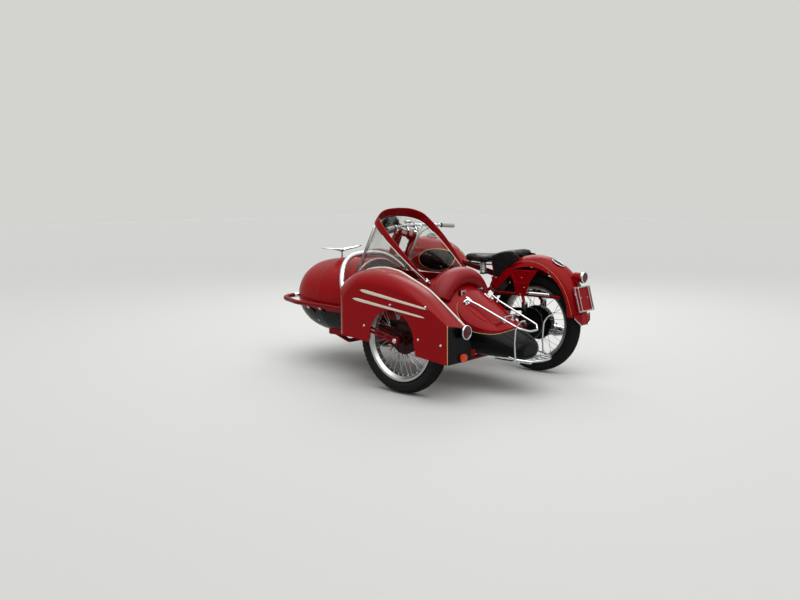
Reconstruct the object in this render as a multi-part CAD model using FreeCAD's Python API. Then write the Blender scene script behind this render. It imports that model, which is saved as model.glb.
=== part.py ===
"""Sidecar motorcycle of about 1955: solo machine, tube chassis and round-bodied single-seat sidecar.

Modelled in millimetres: +X forward, +Y left (the sidecar's side), +Z up.  The working origin is the
ground below the rear axle, and the whole assembly is moved to its box's bottom centre on export.
"""
import FreeCAD
import Part
import math
import os
from FreeCAD import Vector as V

# ---------------------------------------------------------------- driving dimensions
WHEELBASE = 1460.0
RAKE = 26.0                 # degrees, steering axis from the vertical
FORK_OFFSET = 69.0          # fork legs ahead of the steering axis
TYRE_R = 332.0              # 3.50-19
TYRE_HALF = 46.0
RIM_R = 241.0               # bead seat
RIM_HALF = 30.0
FLANGE_H = 14.0             # rim flange above the bead seat
RIM_T = 4.0
SPOKE_R = 1.6
SPOKES = 36
AXLE_R = 8.0
RUNNING = 0.1               # radial running clearance of axles, stem and hinge pins
HAIR = 0.4                  # gap between curved faces of separate pieces

SIDE_WHEEL_X = 257.0
SIDE_WHEEL_Y = 1070.0

HULL_Y = 600.0              # axis of the round hull
HULL_Z = 480.0
HULL_R = 275.0
HULL_T = 4.0
NOSE_START = 1080.0
NOSE_LENGTH = 530.0
NOSE_POWER = 3.0            # how blunt the nose is: 2 is an ellipse
TAIL_START = 350.0
TAIL_END = -330.0
CAP_LENGTH = 24.0

COCKPIT_X = (265.0, 900.0)
COCKPIT_HALF = 200.0
COCKPIT_CORNER = 60.0

FRAME_TUBE_R = 14.0
CHASSIS_TUBE_R = 16.0

MUDGUARD_T = 3.0
FENDER_OUT = SIDE_WHEEL_Y + 90.0    # outer face of the sidecar mudguard
FENDER_IN = SIDE_WHEEL_Y - 100.0

WHEEL_Z = TYRE_R
X, Y, Z = V(1, 0, 0), V(0, 1, 0), V(0, 0, 1)
SIN = math.sin(math.radians(RAKE))
COS = math.cos(math.radians(RAKE))
FRONT = V(WHEELBASE, 0, WHEEL_Z)
REAR = V(0, 0, WHEEL_Z)
SIDE = V(SIDE_WHEEL_X, SIDE_WHEEL_Y, WHEEL_Z)
HULL_AXIS = V(0, HULL_Y, HULL_Z)

nodes = {}


# ---------------------------------------------------------------- helpers
def fuse(shapes):
    """One shape from many."""
    result = shapes[0]
    if len(shapes) > 1:
        result = result.fuse(shapes[1:])
    return result.removeSplitter()


def weld(shapes):
    """One shape from pieces joined one after the other, for small crossing rods."""
    result = shapes[0]
    for shape in shapes[1:]:
        result = result.fuse(shape)
    return result


def cylinder(radius, start, end):
    """A cylinder from one point to another."""
    start, end = V(*start), V(*end)
    run = end - start
    return Part.makeCylinder(radius, run.Length, start, run)


def ring(outer, inner, start, end):
    """A tube with a bore."""
    return cylinder(outer, start, end).cut(cylinder(inner, start, end))


def box(x, y, z):
    """A box from three (low, high) pairs."""
    return Part.makeBox(x[1] - x[0], y[1] - y[0], z[1] - z[0], V(x[0], y[0], z[0]))


def rounded_path(points, bend):
    """A wire of straight runs, each inner corner rounded with the given bend radius."""
    points = [V(*p) for p in points]
    edges = []
    start = points[0]
    for before, corner, after in zip(points, points[1:], points[2:]):
        into = (corner - before).normalize()
        out = (after - corner).normalize()
        turn = into.getAngle(out)
        if turn < 1e-3:
            continue
        room = 0.45 * min((corner - before).Length, (after - corner).Length)
        radius = min(bend, room / math.tan(turn / 2))
        reach = radius * math.tan(turn / 2)
        first = corner - into * reach
        last = corner + out * reach
        inward = (out - into).normalize()
        middle = corner + inward * (radius / math.cos(turn / 2) - radius)
        edges.append(Part.LineSegment(start, first).toShape())
        edges.append(Part.Arc(first, middle, last).toShape())
        start = last
    edges.append(Part.LineSegment(start, points[-1]).toShape())
    return Part.Wire(edges)


def tube(points, radius, bend=40.0):
    """A round bar along a rounded path."""
    path = rounded_path(points, bend)
    start = V(*points[0])
    heading = (V(*points[1]) - start).normalize()
    profile = Part.Wire(Part.Circle(start, heading, radius).toShape())
    return path.makePipeShell([profile], True, False)


def main_solid(shape):
    """The largest solid of a shape, without the offcuts of a cut."""
    return max(shape.Solids, key=lambda solid: solid.Volume)


def polygon(points):
    """A flat face through the points."""
    corners = [V(*p) for p in points]
    return Part.Face(Part.makePolygon(corners + corners[:1]))


def revolved(profile, centre, axis):
    """A solid of revolution from a closed list of points."""
    return polygon(profile).revolve(centre, axis, 360)


CROWN_SHARE = 0.75          # height of a mudguard's round crown, as a share of its half width


def arch(inner_r, outer_r, low, high, centre, half, inner_half):
    """A round-topped trough over a wheel, its angles in degrees from +X towards +Z."""
    def side(radius, width, shoulder):
        flat = radius - shoulder
        left = Part.makePolygon([V(0, -width, 0), V(flat, -width, 0)])
        crown = Part.Arc(V(flat, -width, 0), V(radius, 0, 0), V(flat, width, 0)).toShape()
        right = Part.makePolygon([V(flat, width, 0), V(0, width, 0), V(0, -width, 0)])
        return Part.Face(Part.Wire(left.Edges + [crown] + right.Edges))
    span = high - low
    solids = []
    for radius, width in ((outer_r, half), (inner_r, inner_half)):
        face = side(radius, width, width * CROWN_SHARE)
        face.rotate(V(0, 0, 0), Y, -low)
        solids.append(face.revolve(V(0, 0, 0), -Y, span))
    shell = solids[0].cut(solids[1])
    shell.translate(centre)
    return shell


def fork_point(ahead, side, up):
    """A point given in the fork's own frame: ahead of the legs, sideways, up the legs."""
    return (FRONT.x + ahead * COS - up * SIN, side, FRONT.z + ahead * SIN + up * COS)


def leaned(shape):
    """Lean a shape built upright about the front axle back by the rake."""
    shape = shape.copy()
    shape.translate(FRONT)
    shape.rotate(FRONT, Y, -RAKE)
    return shape


def ellipse_wire(x, half_width, top, bottom, shrink=0.0):
    """An oval hull section square to X."""
    wide = half_width - shrink
    tall = (top - bottom) / 2 - shrink
    centre = V(x, HULL_Y, (top + bottom) / 2)
    if wide >= tall:
        oval = Part.Ellipse(centre + V(0, wide, 0), centre + V(0, 0, tall), centre)
    else:
        oval = Part.Ellipse(centre + V(0, 0, tall), centre + V(0, -wide, 0), centre)
    return Part.Wire(oval.toShape())


# ---------------------------------------------------------------- wheels
HUB_TABLE = {
    # wheel: half length, spoke flange radius, drum radius, drum side, drum width
    "front": (52.0, 34.0, 88.0, -1, 38.0),
    "rear": (56.0, 34.0, 112.0, -1, 46.0),
    "sidecar": (50.0, 34.0, 90.0, -1, 36.0),
}


CHAIN_Y = 80.0
CHAIN_W = 8.0
CHAIN_T = 9.0
CHAIN_CLEAR = 1.0
REAR_SPROCKET_R = 92.0
GEAR_SHAFT = (478.0, 340.0)
GEAR_SPROCKET_R = 38.0


def tyre(centre):
    """A 3.50-19 tyre: flat bead seat, bulging walls and a round tread."""
    low, high, half = RIM_R + RIM_T, TYRE_R, TYRE_HALF
    bead = RIM_HALF - RIM_T - HAIR
    mid = (low + high) / 2 + 8
    neck = RIM_R + FLANGE_H + 2
    at = lambda r, y: V(r, y, 0)
    edges = [
        Part.LineSegment(at(low, -bead), at(low, bead)).toShape(),
        Part.LineSegment(at(low, bead), at(neck, bead)).toShape(),
        Part.Arc(at(neck, bead), at(neck + 10, half - 6), at(mid, half)).toShape(),
        Part.Arc(at(mid, half), at(high - 16, half - 9), at(high, 0)).toShape(),
        Part.Arc(at(high, 0), at(high - 16, 9 - half), at(mid, -half)).toShape(),
        Part.Arc(at(mid, -half), at(neck + 10, 6 - half), at(neck, -bead)).toShape(),
        Part.LineSegment(at(neck, -bead), at(low, -bead)).toShape(),
    ]
    solid = Part.Face(Part.Wire(edges)).revolve(V(0, 0, 0), Y, 360)
    solid.translate(centre)
    return solid


def wire_wheel(centre, kind):
    """Rim, hub, brake drum and laced spokes as one welded and laced wheel."""
    half, flange_r, drum_r, drum_side, drum_w = HUB_TABLE[kind]
    low, seat, lip = RIM_R - 10, RIM_R + RIM_T - HAIR, RIM_R + FLANGE_H
    bead, edge = RIM_HALF - RIM_T, RIM_HALF
    rim = revolved([(low, -14, 0), (low, 14, 0), (seat, bead, 0), (lip, bead, 0),
                    (lip, edge + 8, 0), (RIM_R + 2, edge + 4, 0), (low - 4, 16, 0),
                    (low - 4, -16, 0), (RIM_R + 2, -edge - 4, 0), (lip, -edge - 8, 0),
                    (lip, -bead, 0), (seat, -bead, 0)], V(0, 0, 0), Y)
    hub = fuse([
        cylinder(22, (0, -half, 0), (0, half, 0)),
        cylinder(flange_r + 8, (0, half - 22, 0), (0, half - 17, 0)),
    ])
    near = drum_side * (half - 4)
    far = drum_side * (half - 4 - drum_w)
    drum = cylinder(drum_r, (0, near, 0), (0, far, 0))
    cooling = cylinder(drum_r + 5, (0, far, 0), (0, far - drum_side * 5, 0))
    body = fuse([hub, drum, cooling])
    if kind == "rear":
        body = fuse([body, cylinder(38, (0, half - 20, 0), (0, CHAIN_Y + 2.5, 0)),
                     cylinder(REAR_SPROCKET_R, (0, CHAIN_Y - 2.5, 0), (0, CHAIN_Y + 2.5, 0))])
    spokes = []
    for index in range(SPOKES):
        side = 1 if index % 2 else -1
        lean = 1 if (index // 2) % 2 else -1
        angle = 2 * math.pi * index / SPOKES
        inner_r = drum_r if side == drum_side else flange_r
        inner_y = far if side == drum_side else half - 20
        start_angle = angle + lean * math.radians(52 if side != drum_side else 24)
        start = (inner_r * math.cos(start_angle), inner_y, inner_r * math.sin(start_angle))
        end = ((low - 1) * math.cos(angle), side * 6, (low - 1) * math.sin(angle))
        spokes.append(cylinder(SPOKE_R, start, end))
    wheel = rim.fuse([body] + spokes)
    wheel = wheel.cut(cylinder(AXLE_R + RUNNING, (0, -200, 0), (0, 200, 0)))
    wheel.translate(centre)
    return wheel


def make_wheels():
    for kind, centre in (("front", FRONT), ("rear", REAR), ("sidecar", SIDE)):
        nodes[kind + "_tyre"] = tyre(centre)
        nodes[kind + "_wheel"] = wire_wheel(centre, kind)


# ---------------------------------------------------------------- motorcycle frame and engine
HEAD_TUBE = (470.0, 630.0)      # span up the steering axis, in the fork's frame
HEAD_R = 27.0
STEM_R = 16.0
REAR_BAR_Z = 527.0
REAR_BAR_Y = 84.0


TOP_TUBE = [fork_point(-FORK_OFFSET - 20, 0, HEAD_TUBE[1] - 30), (700, 0, 730), (340, 0, 640)]
TOP_TUBE_R = 20.0
REAR_AXLE_HALF = 152.0
AXLE_END_R = 7.0            # threaded ends of the axles
AXLE_END = 16.0


def stepped_axle(centre, half):
    """A wheel axle with a thinner threaded end each side."""
    across = Y * half
    shank = Y * (half - AXLE_END)
    return fuse([cylinder(AXLE_R, centre - shank, centre + shank),
                 cylinder(AXLE_END_R, centre - across, centre + across)])


def make_frame():
    """Tubular cradle frame with the rear guard loop and the plunger carriers."""
    head_low = fork_point(-FORK_OFFSET, 0, HEAD_TUBE[0])
    head_high = fork_point(-FORK_OFFSET, 0, HEAD_TUBE[1])
    under_head = fork_point(-FORK_OFFSET - 20, 0, HEAD_TUBE[0] + 40)
    r = FRAME_TUBE_R
    pieces = [
        cylinder(HEAD_R, head_low, head_high),
        tube(TOP_TUBE, TOP_TUBE_R, 120),
        tube([under_head, (1022, 0, 480), (968, 0, 300)], r + 3, 200),
        tube([(340, 0, 652), (352, 0, 400), (356, 0, 220)], r, 200),
    ]
    for side in (1, -1):
        y = side * 120
        pieces.append(tube([(968, 0, 310), (955, y, 215), (400, y, 200), (300, y, 330)], r, 60))
        bar = side * REAR_BAR_Y
        pieces.append(tube([(340, 0, 640), (325, bar, 560), (300, bar, REAR_BAR_Z),
                            (-235, bar, REAR_BAR_Z)], 11, 50))
        pieces.append(tube([(300, y, 330), (60, y - side * 5, 330)], r, 60))
        pieces.append(cylinder(19, (20, y - side * 5, 215), (20, y - side * 5, 470)))
        pieces.append(tube([(20, y - side * 5, 455), (60, bar, REAR_BAR_Z)], 11, 40))
        pieces.append(tube([(60, y - side * 5, 330), (20, y - side * 5, 330)], r, 40))
        pieces.append(cylinder(r, (354, 0, 330), (300, y, 330)))
        pieces.append(cylinder(r, (356, 0, 222), (400, y, 204)))
    frame = fuse(pieces)
    frame = frame.cut(cylinder(STEM_R + RUNNING, fork_point(-FORK_OFFSET, 0, HEAD_TUBE[0] - 20),
                               fork_point(-FORK_OFFSET, 0, HEAD_TUBE[1] + 20)))
    rear_axle = stepped_axle(REAR, REAR_AXLE_HALF)
    frame = frame.cut(cylinder(AXLE_R + RUNNING, (0, -200, WHEEL_Z), (0, 200, WHEEL_Z)))
    nodes["bike_frame"] = frame
    nodes["rear_axle"] = rear_axle


def make_engine():
    """Single-cylinder engine with unit gearbox, finned barrel and head, and carburettor."""
    case = fuse([
        cylinder(112, (690, -80, 345), (690, 80, 345)),
        box((450, 690), (-72, 72), (250, 430)),
        cylinder(88, (470, -76, 335), (470, 76, 335)),
        cylinder(96, (690, -98, 345), (690, 98, 345)),
        cylinder(60, (478, -104, 340), (478, 72, 340)),
        cylinder(14, (478, 70, 340), (478, CHAIN_Y + 6, 340)),
        cylinder(GEAR_SPROCKET_R, (478, CHAIN_Y - 2.5, 340), (478, CHAIN_Y + 2.5, 340)),
        box((560, 830), (-60, 60), (232, 300)),
    ])
    nodes["crankcase"] = case
    barrel_x, base, top = 735.0, 448.0, 560.0
    barrel = [cylinder(52, (barrel_x, 0, base), (barrel_x, 0, top))]
    fins = 8
    for index in range(fins):
        z = base + 20 + index * (top - base - 26) / (fins - 1)
        fin = box((barrel_x - 80, barrel_x + 80), (-76, 76), (z, z + 4))
        barrel.append(fin.makeFillet(24, [e for e in fin.Edges if abs(e.tangentAt(0).z) > 0.9]))
    column = fuse(barrel).cut(case)
    nodes["cylinder_barrel"] = main_solid(column)
    head = [cylinder(58, (barrel_x, 0, top), (barrel_x, 0, 640)),
            box((barrel_x - 42, barrel_x + 42), (-50, 50), (625, 668))]
    for index in range(6):
        z = top + 6 + index * 12
        fin = box((barrel_x - 78, barrel_x + 78), (-72, 72), (z, z + 4))
        head.append(fin.makeFillet(24, [e for e in fin.Edges if abs(e.tangentAt(0).z) > 0.9]))
    nodes["cylinder_head"] = fuse(head)
    carb = fuse([
        cylinder(19, (barrel_x - 58, 0, 600), (585, 0, 588)),
        cylinder(24, (622, 0, 552), (622, 0, 640)),
        cylinder(30, (622, 36, 545), (622, 36, 600)),
        cylinder(38, (600, 0, 590), (560, 0, 588)),
    ])
    nodes["carburettor"] = main_solid(carb.cut(nodes["cylinder_head"]).cut(nodes["cylinder_barrel"]))


SILENCER_Y, SILENCER_Z = -168.0, 262.0
SILENCER_X = (262.0, -70.0)             # ends of its full-width barrel


def make_exhaust():
    """Exhaust pipe and silencer down the right-hand side."""
    y, z = SILENCER_Y, SILENCER_Z
    front, back = SILENCER_X
    pipe = tube([(793, -30, 605), (880, -60, 590), (930, -125, 480), (900, -150, 300),
                 (800, y + 3, z), (front + 68, y, z)], 19, 90)
    silencer = fuse([
        Part.makeCone(22, 40, 70, V(front + 69, y, z), -X),
        cylinder(40, (front, y, z), (back - 2, y, z)),
        Part.makeCone(40, 22, 90, V(back, y, z), -X),
        Part.makeCylinder(17, 60, V(back - 85, y, z), -X),
    ])
    head = nodes["cylinder_head"]
    whole = fuse([pipe, silencer, cylinder(26, (792, -31, 604), (806, -35, 603))])
    whole = fuse([whole, box((70, 100), (-150, -126), (262, 345))])
    nodes["exhaust"] = main_solid(whole.cut(head).cut(nodes["bike_frame"]).cut(nodes["rear_axle"]))


def make_foot_controls():
    """Footrest bar with rubbers, gear lever and brake pedal."""
    bar = fuse([
        cylinder(9, (520, -262, 219), (520, 235, 219)),
        cylinder(15, (520, 150, 219), (520, 235, 219)),
        cylinder(15, (520, -262, 219), (520, -150, 219)),
    ])
    gear = tube([(478, 87, 340), (478, 140, 340), (640, 150, 330), (640, 185, 330)], 6, 15)
    pedal = tube([(478, -105, 340), (478, -132, 340), (560, -215, 290), (700, -215, 250), (720, -245, 250)],
                 6, 15)
    solid = bar.cut(nodes["crankcase"]).cut(nodes["bike_frame"])
    parts = [s for s in solid.Solids]
    nodes["foot_controls"] = Part.makeCompound(parts + [gear.cut(nodes["crankcase"]),
                                                        pedal.cut(nodes["crankcase"])])


# ---------------------------------------------------------------- tank, seats
TANK_SECTIONS = [
    # x, half width, bottom, top
    (1108, 46, 746, 806),
    (1086, 104, 708, 846),
    (1015, 142, 668, 886),
    (900, 147, 650, 884),
    (780, 138, 650, 846),
    (680, 104, 666, 776),
    (615, 44, 692, 724),
]
TUNNEL_HALF = 32.0          # over the top tube
TUNNEL_Z = 728.0
ENGINE_HALF = 82.0          # wider below, over the cylinder head
ENGINE_Z = 692.0
CAP_X = 930.0


def oval_section(x, half, low, high):
    """A closed tank section with a flat bottom, upright cheeks and a domed top."""
    rise = high - low
    right = [(0.78 * half, low), (half, low + 0.36 * rise), (0.78 * half, low + 0.8 * rise)]
    left = [(-y, z) for y, z in reversed(right)]
    curve = Part.BSplineCurve()
    points = [(0, low)] + right + [(0, high)] + left
    curve.interpolate([V(x, y, z) for y, z in points], PeriodicFlag=True)
    return Part.Wire(curve.toShape())


def make_tank():
    """Saddle tank lofted over the frame's top tube, with its filler cap."""
    shell = Part.makeLoft([oval_section(*row) for row in TANK_SECTIONS], True)
    tunnel = fuse([tube(TOP_TUBE, TOP_TUBE_R + HAIR, 120),
                   box((560, 1180), (-TUNNEL_HALF, TUNNEL_HALF), (600, TUNNEL_Z)),
                   box((560, 1180), (-ENGINE_HALF, ENGINE_HALF), (600, ENGINE_Z))])
    head_low = fork_point(-FORK_OFFSET, 0, HEAD_TUBE[0] - 40)
    head_high = fork_point(-FORK_OFFSET, 0, HEAD_TUBE[1] + 40)
    nodes["fuel_tank"] = main_solid(shell.cut(tunnel).cut(cylinder(HEAD_R + 6, head_low, head_high)))
    cap = fuse([cylinder(34, (CAP_X, 0, 872), (CAP_X, 0, 905)),
                cylinder(20, (CAP_X, 0, 905), (CAP_X, 0, 913))])
    nodes["fuel_cap"] = cap.cut(nodes["fuel_tank"])


PILLION_HALF = 112.0
PILLION_SIDE = [V(116, 0, 778), V(298, 0, 738), V(298, 0, 786), V(134, 0, 820)]     # side view corners


def make_seats():
    """Sprung rider's saddle with its coil springs, and a pillion pad on its bracket."""
    outline = [(598, 0), (585, 45), (505, 78), (415, 126), (356, 128), (332, 80),
               (332, -80), (356, -128), (415, -126), (505, -78), (585, -45)]
    plan = Part.BSplineCurve()
    plan.interpolate([V(x, y, 728) for x, y in outline], PeriodicFlag=True)
    saddle = Part.Face(Part.Wire(plan.toShape())).extrude(V(0, 0, 50))
    nodes["rider_saddle"] = saddle.makeFillet(20, saddle.Edges)
    springs = []
    for side in (1, -1):
        springs.append(cylinder(21, (390, side * 85, 655), (390, side * 85, 728 - HAIR)))
        springs.append(tube([(570, 0, 712), (470, side * 40, 700), (390, side * 85, 700)], 6, 60))
    springs.append(cylinder(9, (570, 0, 660), (570, 0, 728 - HAIR)))
    springs.append(box((376, 404), (-105, 105), (645, 655)))
    carrier = fuse(springs).cut(nodes["bike_frame"])
    nodes["saddle_springs"] = main_solid(carrier)
    low_rear, low_front, high_front, high_rear = PILLION_SIDE
    arcs = [
        Part.LineSegment(low_rear, low_front).toShape(),
        Part.Arc(low_front, (low_front + high_front) / 2 + X * 15, high_front).toShape(),
        Part.Arc(high_front, (high_front + high_rear) / 2 + Z * 9, high_rear).toShape(),
        Part.Arc(high_rear, (high_rear + low_rear) / 2 - X * 14, low_rear).toShape(),
    ]
    pad = Part.Face(Part.Wire(arcs)).extrude(V(0, 2 * PILLION_HALF, 0))
    pad.translate(V(0, -PILLION_HALF, 0))
    nodes["pillion_pad"] = pad


REAR_GUARD_R = 372.0
REAR_GUARD_HALF = 100.0
REAR_GUARD_Z = 421.0
REAR_GUARD_DEPTH = 74.0
REAR_GUARD_SPAN = (34, 183)
FLAP_HALF = 42.0            # flap at the guard's tail
FLAP_Z = (352.0, 424.0)


def make_pillion_bracket():
    """Carrier of the pillion pad: a skirt plate each side of the guard, bolted through it."""
    pieces = []
    for side in (1, -1):
        y = side * (REAR_GUARD_HALF + HAIR)
        plate = polygon([(306, y, 735), (168, y, 766), (205, y, 640), (232, y, 585), (262, y, 585),
                         (282, y, 640)])
        pieces.append(plate.extrude(V(0, side * 4, 0)))
        pieces.append(cylinder(8, (262, y, 628), (262, y + side * 12, 628)))
    pieces.append(box((268, 304), (-REAR_GUARD_HALF - 2, REAR_GUARD_HALF + 2), (725, 733)))
    solid = fuse(pieces).cut(nodes["bike_frame"]).cut(nodes["rear_mudguard"])
    nodes["pillion_bracket"] = main_solid(solid)


def make_rear_mudguard():
    """Deep rear mudguard, and the pressed gussets that reach down to the frame bar."""
    centre = V(0, 0, REAR_GUARD_Z)
    guard = arch(REAR_GUARD_R - MUDGUARD_T, REAR_GUARD_R, REAR_GUARD_SPAN[0], REAR_GUARD_SPAN[1], centre,
                 REAR_GUARD_HALF, REAR_GUARD_HALF - MUDGUARD_T)
    guard = guard.cut(Part.makeCylinder(REAR_GUARD_R - REAR_GUARD_DEPTH, 300, centre + V(0, -150, 0), Y))
    pieces = [guard]
    for side in (1, -1):
        y = side * (REAR_GUARD_HALF - MUDGUARD_T)
        low = REAR_BAR_Z - 9
        plate = polygon([(176, y, 690), (-70, y, 700), (-8, y, 618), (30, y, low), (100, y, low),
                         (126, y, 618)])
        pieces.append(plate.extrude(V(0, side * MUDGUARD_T, 0)))
        pieces.append(cylinder(9, (66, y, REAR_BAR_Z), (66, y + side * 10, REAR_BAR_Z)))
        pieces.append(cylinder(5, (66, y + side, REAR_BAR_Z), (66, side * REAR_BAR_Y, REAR_BAR_Z)))
    pieces.append(box((-REAR_GUARD_R, -REAR_GUARD_R + MUDGUARD_T), (-FLAP_HALF, FLAP_HALF), FLAP_Z))
    solid = fuse(pieces).cut(nodes["bike_frame"])
    nodes["rear_mudguard"] = main_solid(solid)


def belt_face(rear_r, front_r):
    """The area inside an open belt round the two sprockets."""
    gap = GEAR_SHAFT[0]
    rise = GEAR_SHAFT[1] - WHEEL_Z
    span = math.hypot(gap, rise)
    tilt = math.atan2(rise, gap)
    spread = math.acos((rear_r - front_r) / span)
    at = lambda x, z, r, angle: V(x + r * math.cos(angle), 0, z + r * math.sin(angle))
    up, down = tilt + spread, tilt - spread
    back, ahead = tilt + math.pi, tilt
    rear_up, rear_down = at(0, WHEEL_Z, rear_r, up), at(0, WHEEL_Z, rear_r, down)
    front_up = at(GEAR_SHAFT[0], GEAR_SHAFT[1], front_r, up)
    front_down = at(GEAR_SHAFT[0], GEAR_SHAFT[1], front_r, down)
    return Part.Face(Part.Wire([
        Part.LineSegment(rear_up, front_up).toShape(),
        Part.Arc(front_up, at(GEAR_SHAFT[0], GEAR_SHAFT[1], front_r, ahead), front_down).toShape(),
        Part.LineSegment(front_down, rear_down).toShape(),
        Part.Arc(rear_down, at(0, WHEEL_Z, rear_r, back), rear_up).toShape(),
    ]))


def make_chain():
    """Rear chain as one band round both sprockets, and the guard over its upper run."""
    inside = belt_face(REAR_SPROCKET_R + CHAIN_CLEAR, GEAR_SPROCKET_R + CHAIN_CLEAR)
    outside = belt_face(REAR_SPROCKET_R + CHAIN_CLEAR + CHAIN_T, GEAR_SPROCKET_R + CHAIN_CLEAR + CHAIN_T)
    band = outside.cut(inside).extrude(V(0, CHAIN_W, 0))
    band.translate(V(0, CHAIN_Y - CHAIN_W / 2, 0))
    nodes["drive_chain"] = band.cut(nodes["bike_frame"])
    reach = REAR_SPROCKET_R + CHAIN_CLEAR + CHAIN_T + 8
    near = GEAR_SPROCKET_R + CHAIN_CLEAR + CHAIN_T + 8
    cover = belt_face(reach + 2, near + 2).cut(belt_face(reach, near)).extrude(V(0, 13, 0))
    cover.translate(V(0, CHAIN_Y - 5, 0))
    cheek = belt_face(reach + 2, near + 2).cut(belt_face(reach - 22, near - 14)).extrude(V(0, 2, 0))
    cheek.translate(V(0, CHAIN_Y + 8, 0))
    upper = polygon([(-96, 60, 350), (560, 60, 350), (560, 60, 480), (-96, 60, 480)]).extrude(V(0, 60, 0))
    guard = fuse([cover, cheek]).common(upper)
    nodes["chain_guard"] = main_solid(guard.cut(nodes["bike_frame"]).cut(nodes["crankcase"]))


TAIL_LAMP = (-345.0, 661.0)     # x of the bowl's mouth, z
TAIL_LAMP_R = 35.0
PLATE_X = -386.0
PLATE_HALF = 92.0
PLATE_Z = (442.0, 602.0)
PLATE_EDGE = 9.0
PLATE_BARS_Y = 62.0


def make_tail_lamp_and_plate():
    """Tail lamp on its pressed bracket, and the blank number plate in its frame."""
    x, z = TAIL_LAMP
    lens_r = TAIL_LAMP_R - 6
    bracket = fuse([box((x + 20, -262), (-34, 34), (z - 34, z - 12)),
                    cylinder(TAIL_LAMP_R - 4, (x - 3, 0, z), (x + 55, 0, z)),
                    ring(TAIL_LAMP_R, lens_r, (x - 20, 0, z), (x, 0, z))])
    nodes["tail_lamp_housing"] = main_solid(bracket.cut(nodes["rear_mudguard"]))
    nodes["tail_lamp_lens"] = cylinder(lens_r - HAIR, (x - 17, 0, z), (x - 3, 0, z))
    x, half, low, high = PLATE_X, PLATE_HALF, PLATE_Z[0], PLATE_Z[1]
    inner = half - PLATE_EDGE
    frame = box((x - 7, x + 3), (-half, half), PLATE_Z)
    frame = frame.cut(box((x - 20, x + 20), (-inner, inner), (low + PLATE_EDGE, high - PLATE_EDGE)))
    pieces = [frame, box((x - 4, x), (-inner - 2, inner + 2), (low + 7, high - 7))]
    pieces += [box((x - 12, x - 7), (y - 4, y + 4), PLATE_Z) for y in (-PLATE_BARS_Y, PLATE_BARS_Y)]
    pieces += [box((x, x + 40), (y - 8, y + 8), (520, 536)) for y in (-40, 40)]
    nodes["number_plate"] = main_solid(fuse(pieces).cut(nodes["rear_mudguard"]))


# ---------------------------------------------------------------- steering group
FORK_LEG_Y = 96.0
FRONT_AXLE_HALF = 136.0
YOKE_LOW = (440.0, 466.0)
YOKE_HIGH = (636.0, 656.0)
FRONT_GUARD_R = 420.0
FRONT_GUARD_HALF = 66.0
FRONT_GUARD_SHIFT = (15.0, 24.0)
FRONT_GUARD_DEPTH = 84.0
FRONT_GUARD_SPAN = (-2, 166)
GUARD_PEG_UP = 380.0


def make_fork():
    """Telescopic fork in its own upright frame, then leaned back by the rake."""
    legs = []
    for side in (1, -1):
        y = side * FORK_LEG_Y
        legs += [cylinder(24, (0, y, -34), (0, y, 300)), cylinder(29, (0, y, 300), (0, y, 640)),
                 cylinder(15, (0, y, 640), (0, y, 676))]
    yokes = []
    for low, high, boss in ((YOKE_LOW[0], YOKE_LOW[1], 34), (YOKE_HIGH[0], YOKE_HIGH[1], 24)):
        plan = [(24, -FORK_LEG_Y, low), (24, FORK_LEG_Y, low), (-16, FORK_LEG_Y + 20, low),
                (-FORK_OFFSET - 24, boss, low), (-FORK_OFFSET - 24, -boss, low),
                (-16, -FORK_LEG_Y - 20, low)]
        yokes.append(polygon(plan).extrude(V(0, 0, high - low)))
    low, high = yokes
    stem = cylinder(STEM_R, (-FORK_OFFSET, 0, YOKE_LOW[0]), (-FORK_OFFSET, 0, YOKE_HIGH[1] + 14))
    risers = [cylinder(9, (-40, s * 46, YOKE_HIGH[1]), (-40, s * 46, YOKE_HIGH[1] + 26)) for s in (1, -1)]
    lamp_ears = [box((20, 60), (s * 84 - 3, s * 84 + 3), (560, 640)) for s in (1, -1)]
    axle = stepped_axle(V(0, 0, 0), FRONT_AXLE_HALF)
    fork = fuse(legs + [low, high, stem, axle] + risers + lamp_ears)
    nodes["fork"] = leaned(fork)


def make_front_mudguard():
    """Deep-valanced front mudguard hung from the fork's shrouds."""
    centre = FRONT + V(FRONT_GUARD_SHIFT[0], 0, FRONT_GUARD_SHIFT[1])
    guard = arch(FRONT_GUARD_R - MUDGUARD_T, FRONT_GUARD_R, FRONT_GUARD_SPAN[0], FRONT_GUARD_SPAN[1],
                 centre, FRONT_GUARD_HALF, FRONT_GUARD_HALF - MUDGUARD_T)
    guard = guard.cut(Part.makeCylinder(FRONT_GUARD_R - FRONT_GUARD_DEPTH, 300, centre + V(0, -150, 0), Y))
    pegs = [cylinder(8, fork_point(2, side * 76, GUARD_PEG_UP),
                     fork_point(2, side * (FRONT_GUARD_HALF - 2), GUARD_PEG_UP)) for side in (1, -1)]
    nodes["front_mudguard"] = main_solid(fuse([guard] + pegs).cut(nodes["fork"]))


LAMP = (1405.0, 0.0, 975.0)
LAMP_R = 80.0


def make_headlamp():
    """Headlamp bowl with its bright rim and lens, carried between the fork ears."""
    x, y, z = LAMP
    bowl = Part.makeSphere(LAMP_R, V(x - 30, y, z)).common(box((x - 130, x - 8), (-100, 100), (850, 1100)))
    bowl = bowl.fuse(cylinder(LAMP_R, (x - 30, y, z), (x - 8, y, z)))
    arms = [cylinder(8, (x - 60, side * 70, z), (fork_point(40, 0, 600)[0], side * 84, 930)) for side in (1, -1)]
    shell = fuse([bowl] + arms)
    rim = ring(LAMP_R + 5, LAMP_R - 8, (x - 8, y, z), (x + 14, y, z))
    glass = Part.makeSphere(170, V(x - 150, y, z)).common(cylinder(LAMP_R - 8.4, (x - 4, y, z), (x + 60, y, z)))
    nodes["headlamp_shell"] = shell.cut(nodes["fork"])
    nodes["headlamp_rim"] = rim
    nodes["headlamp_lens"] = glass


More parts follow.
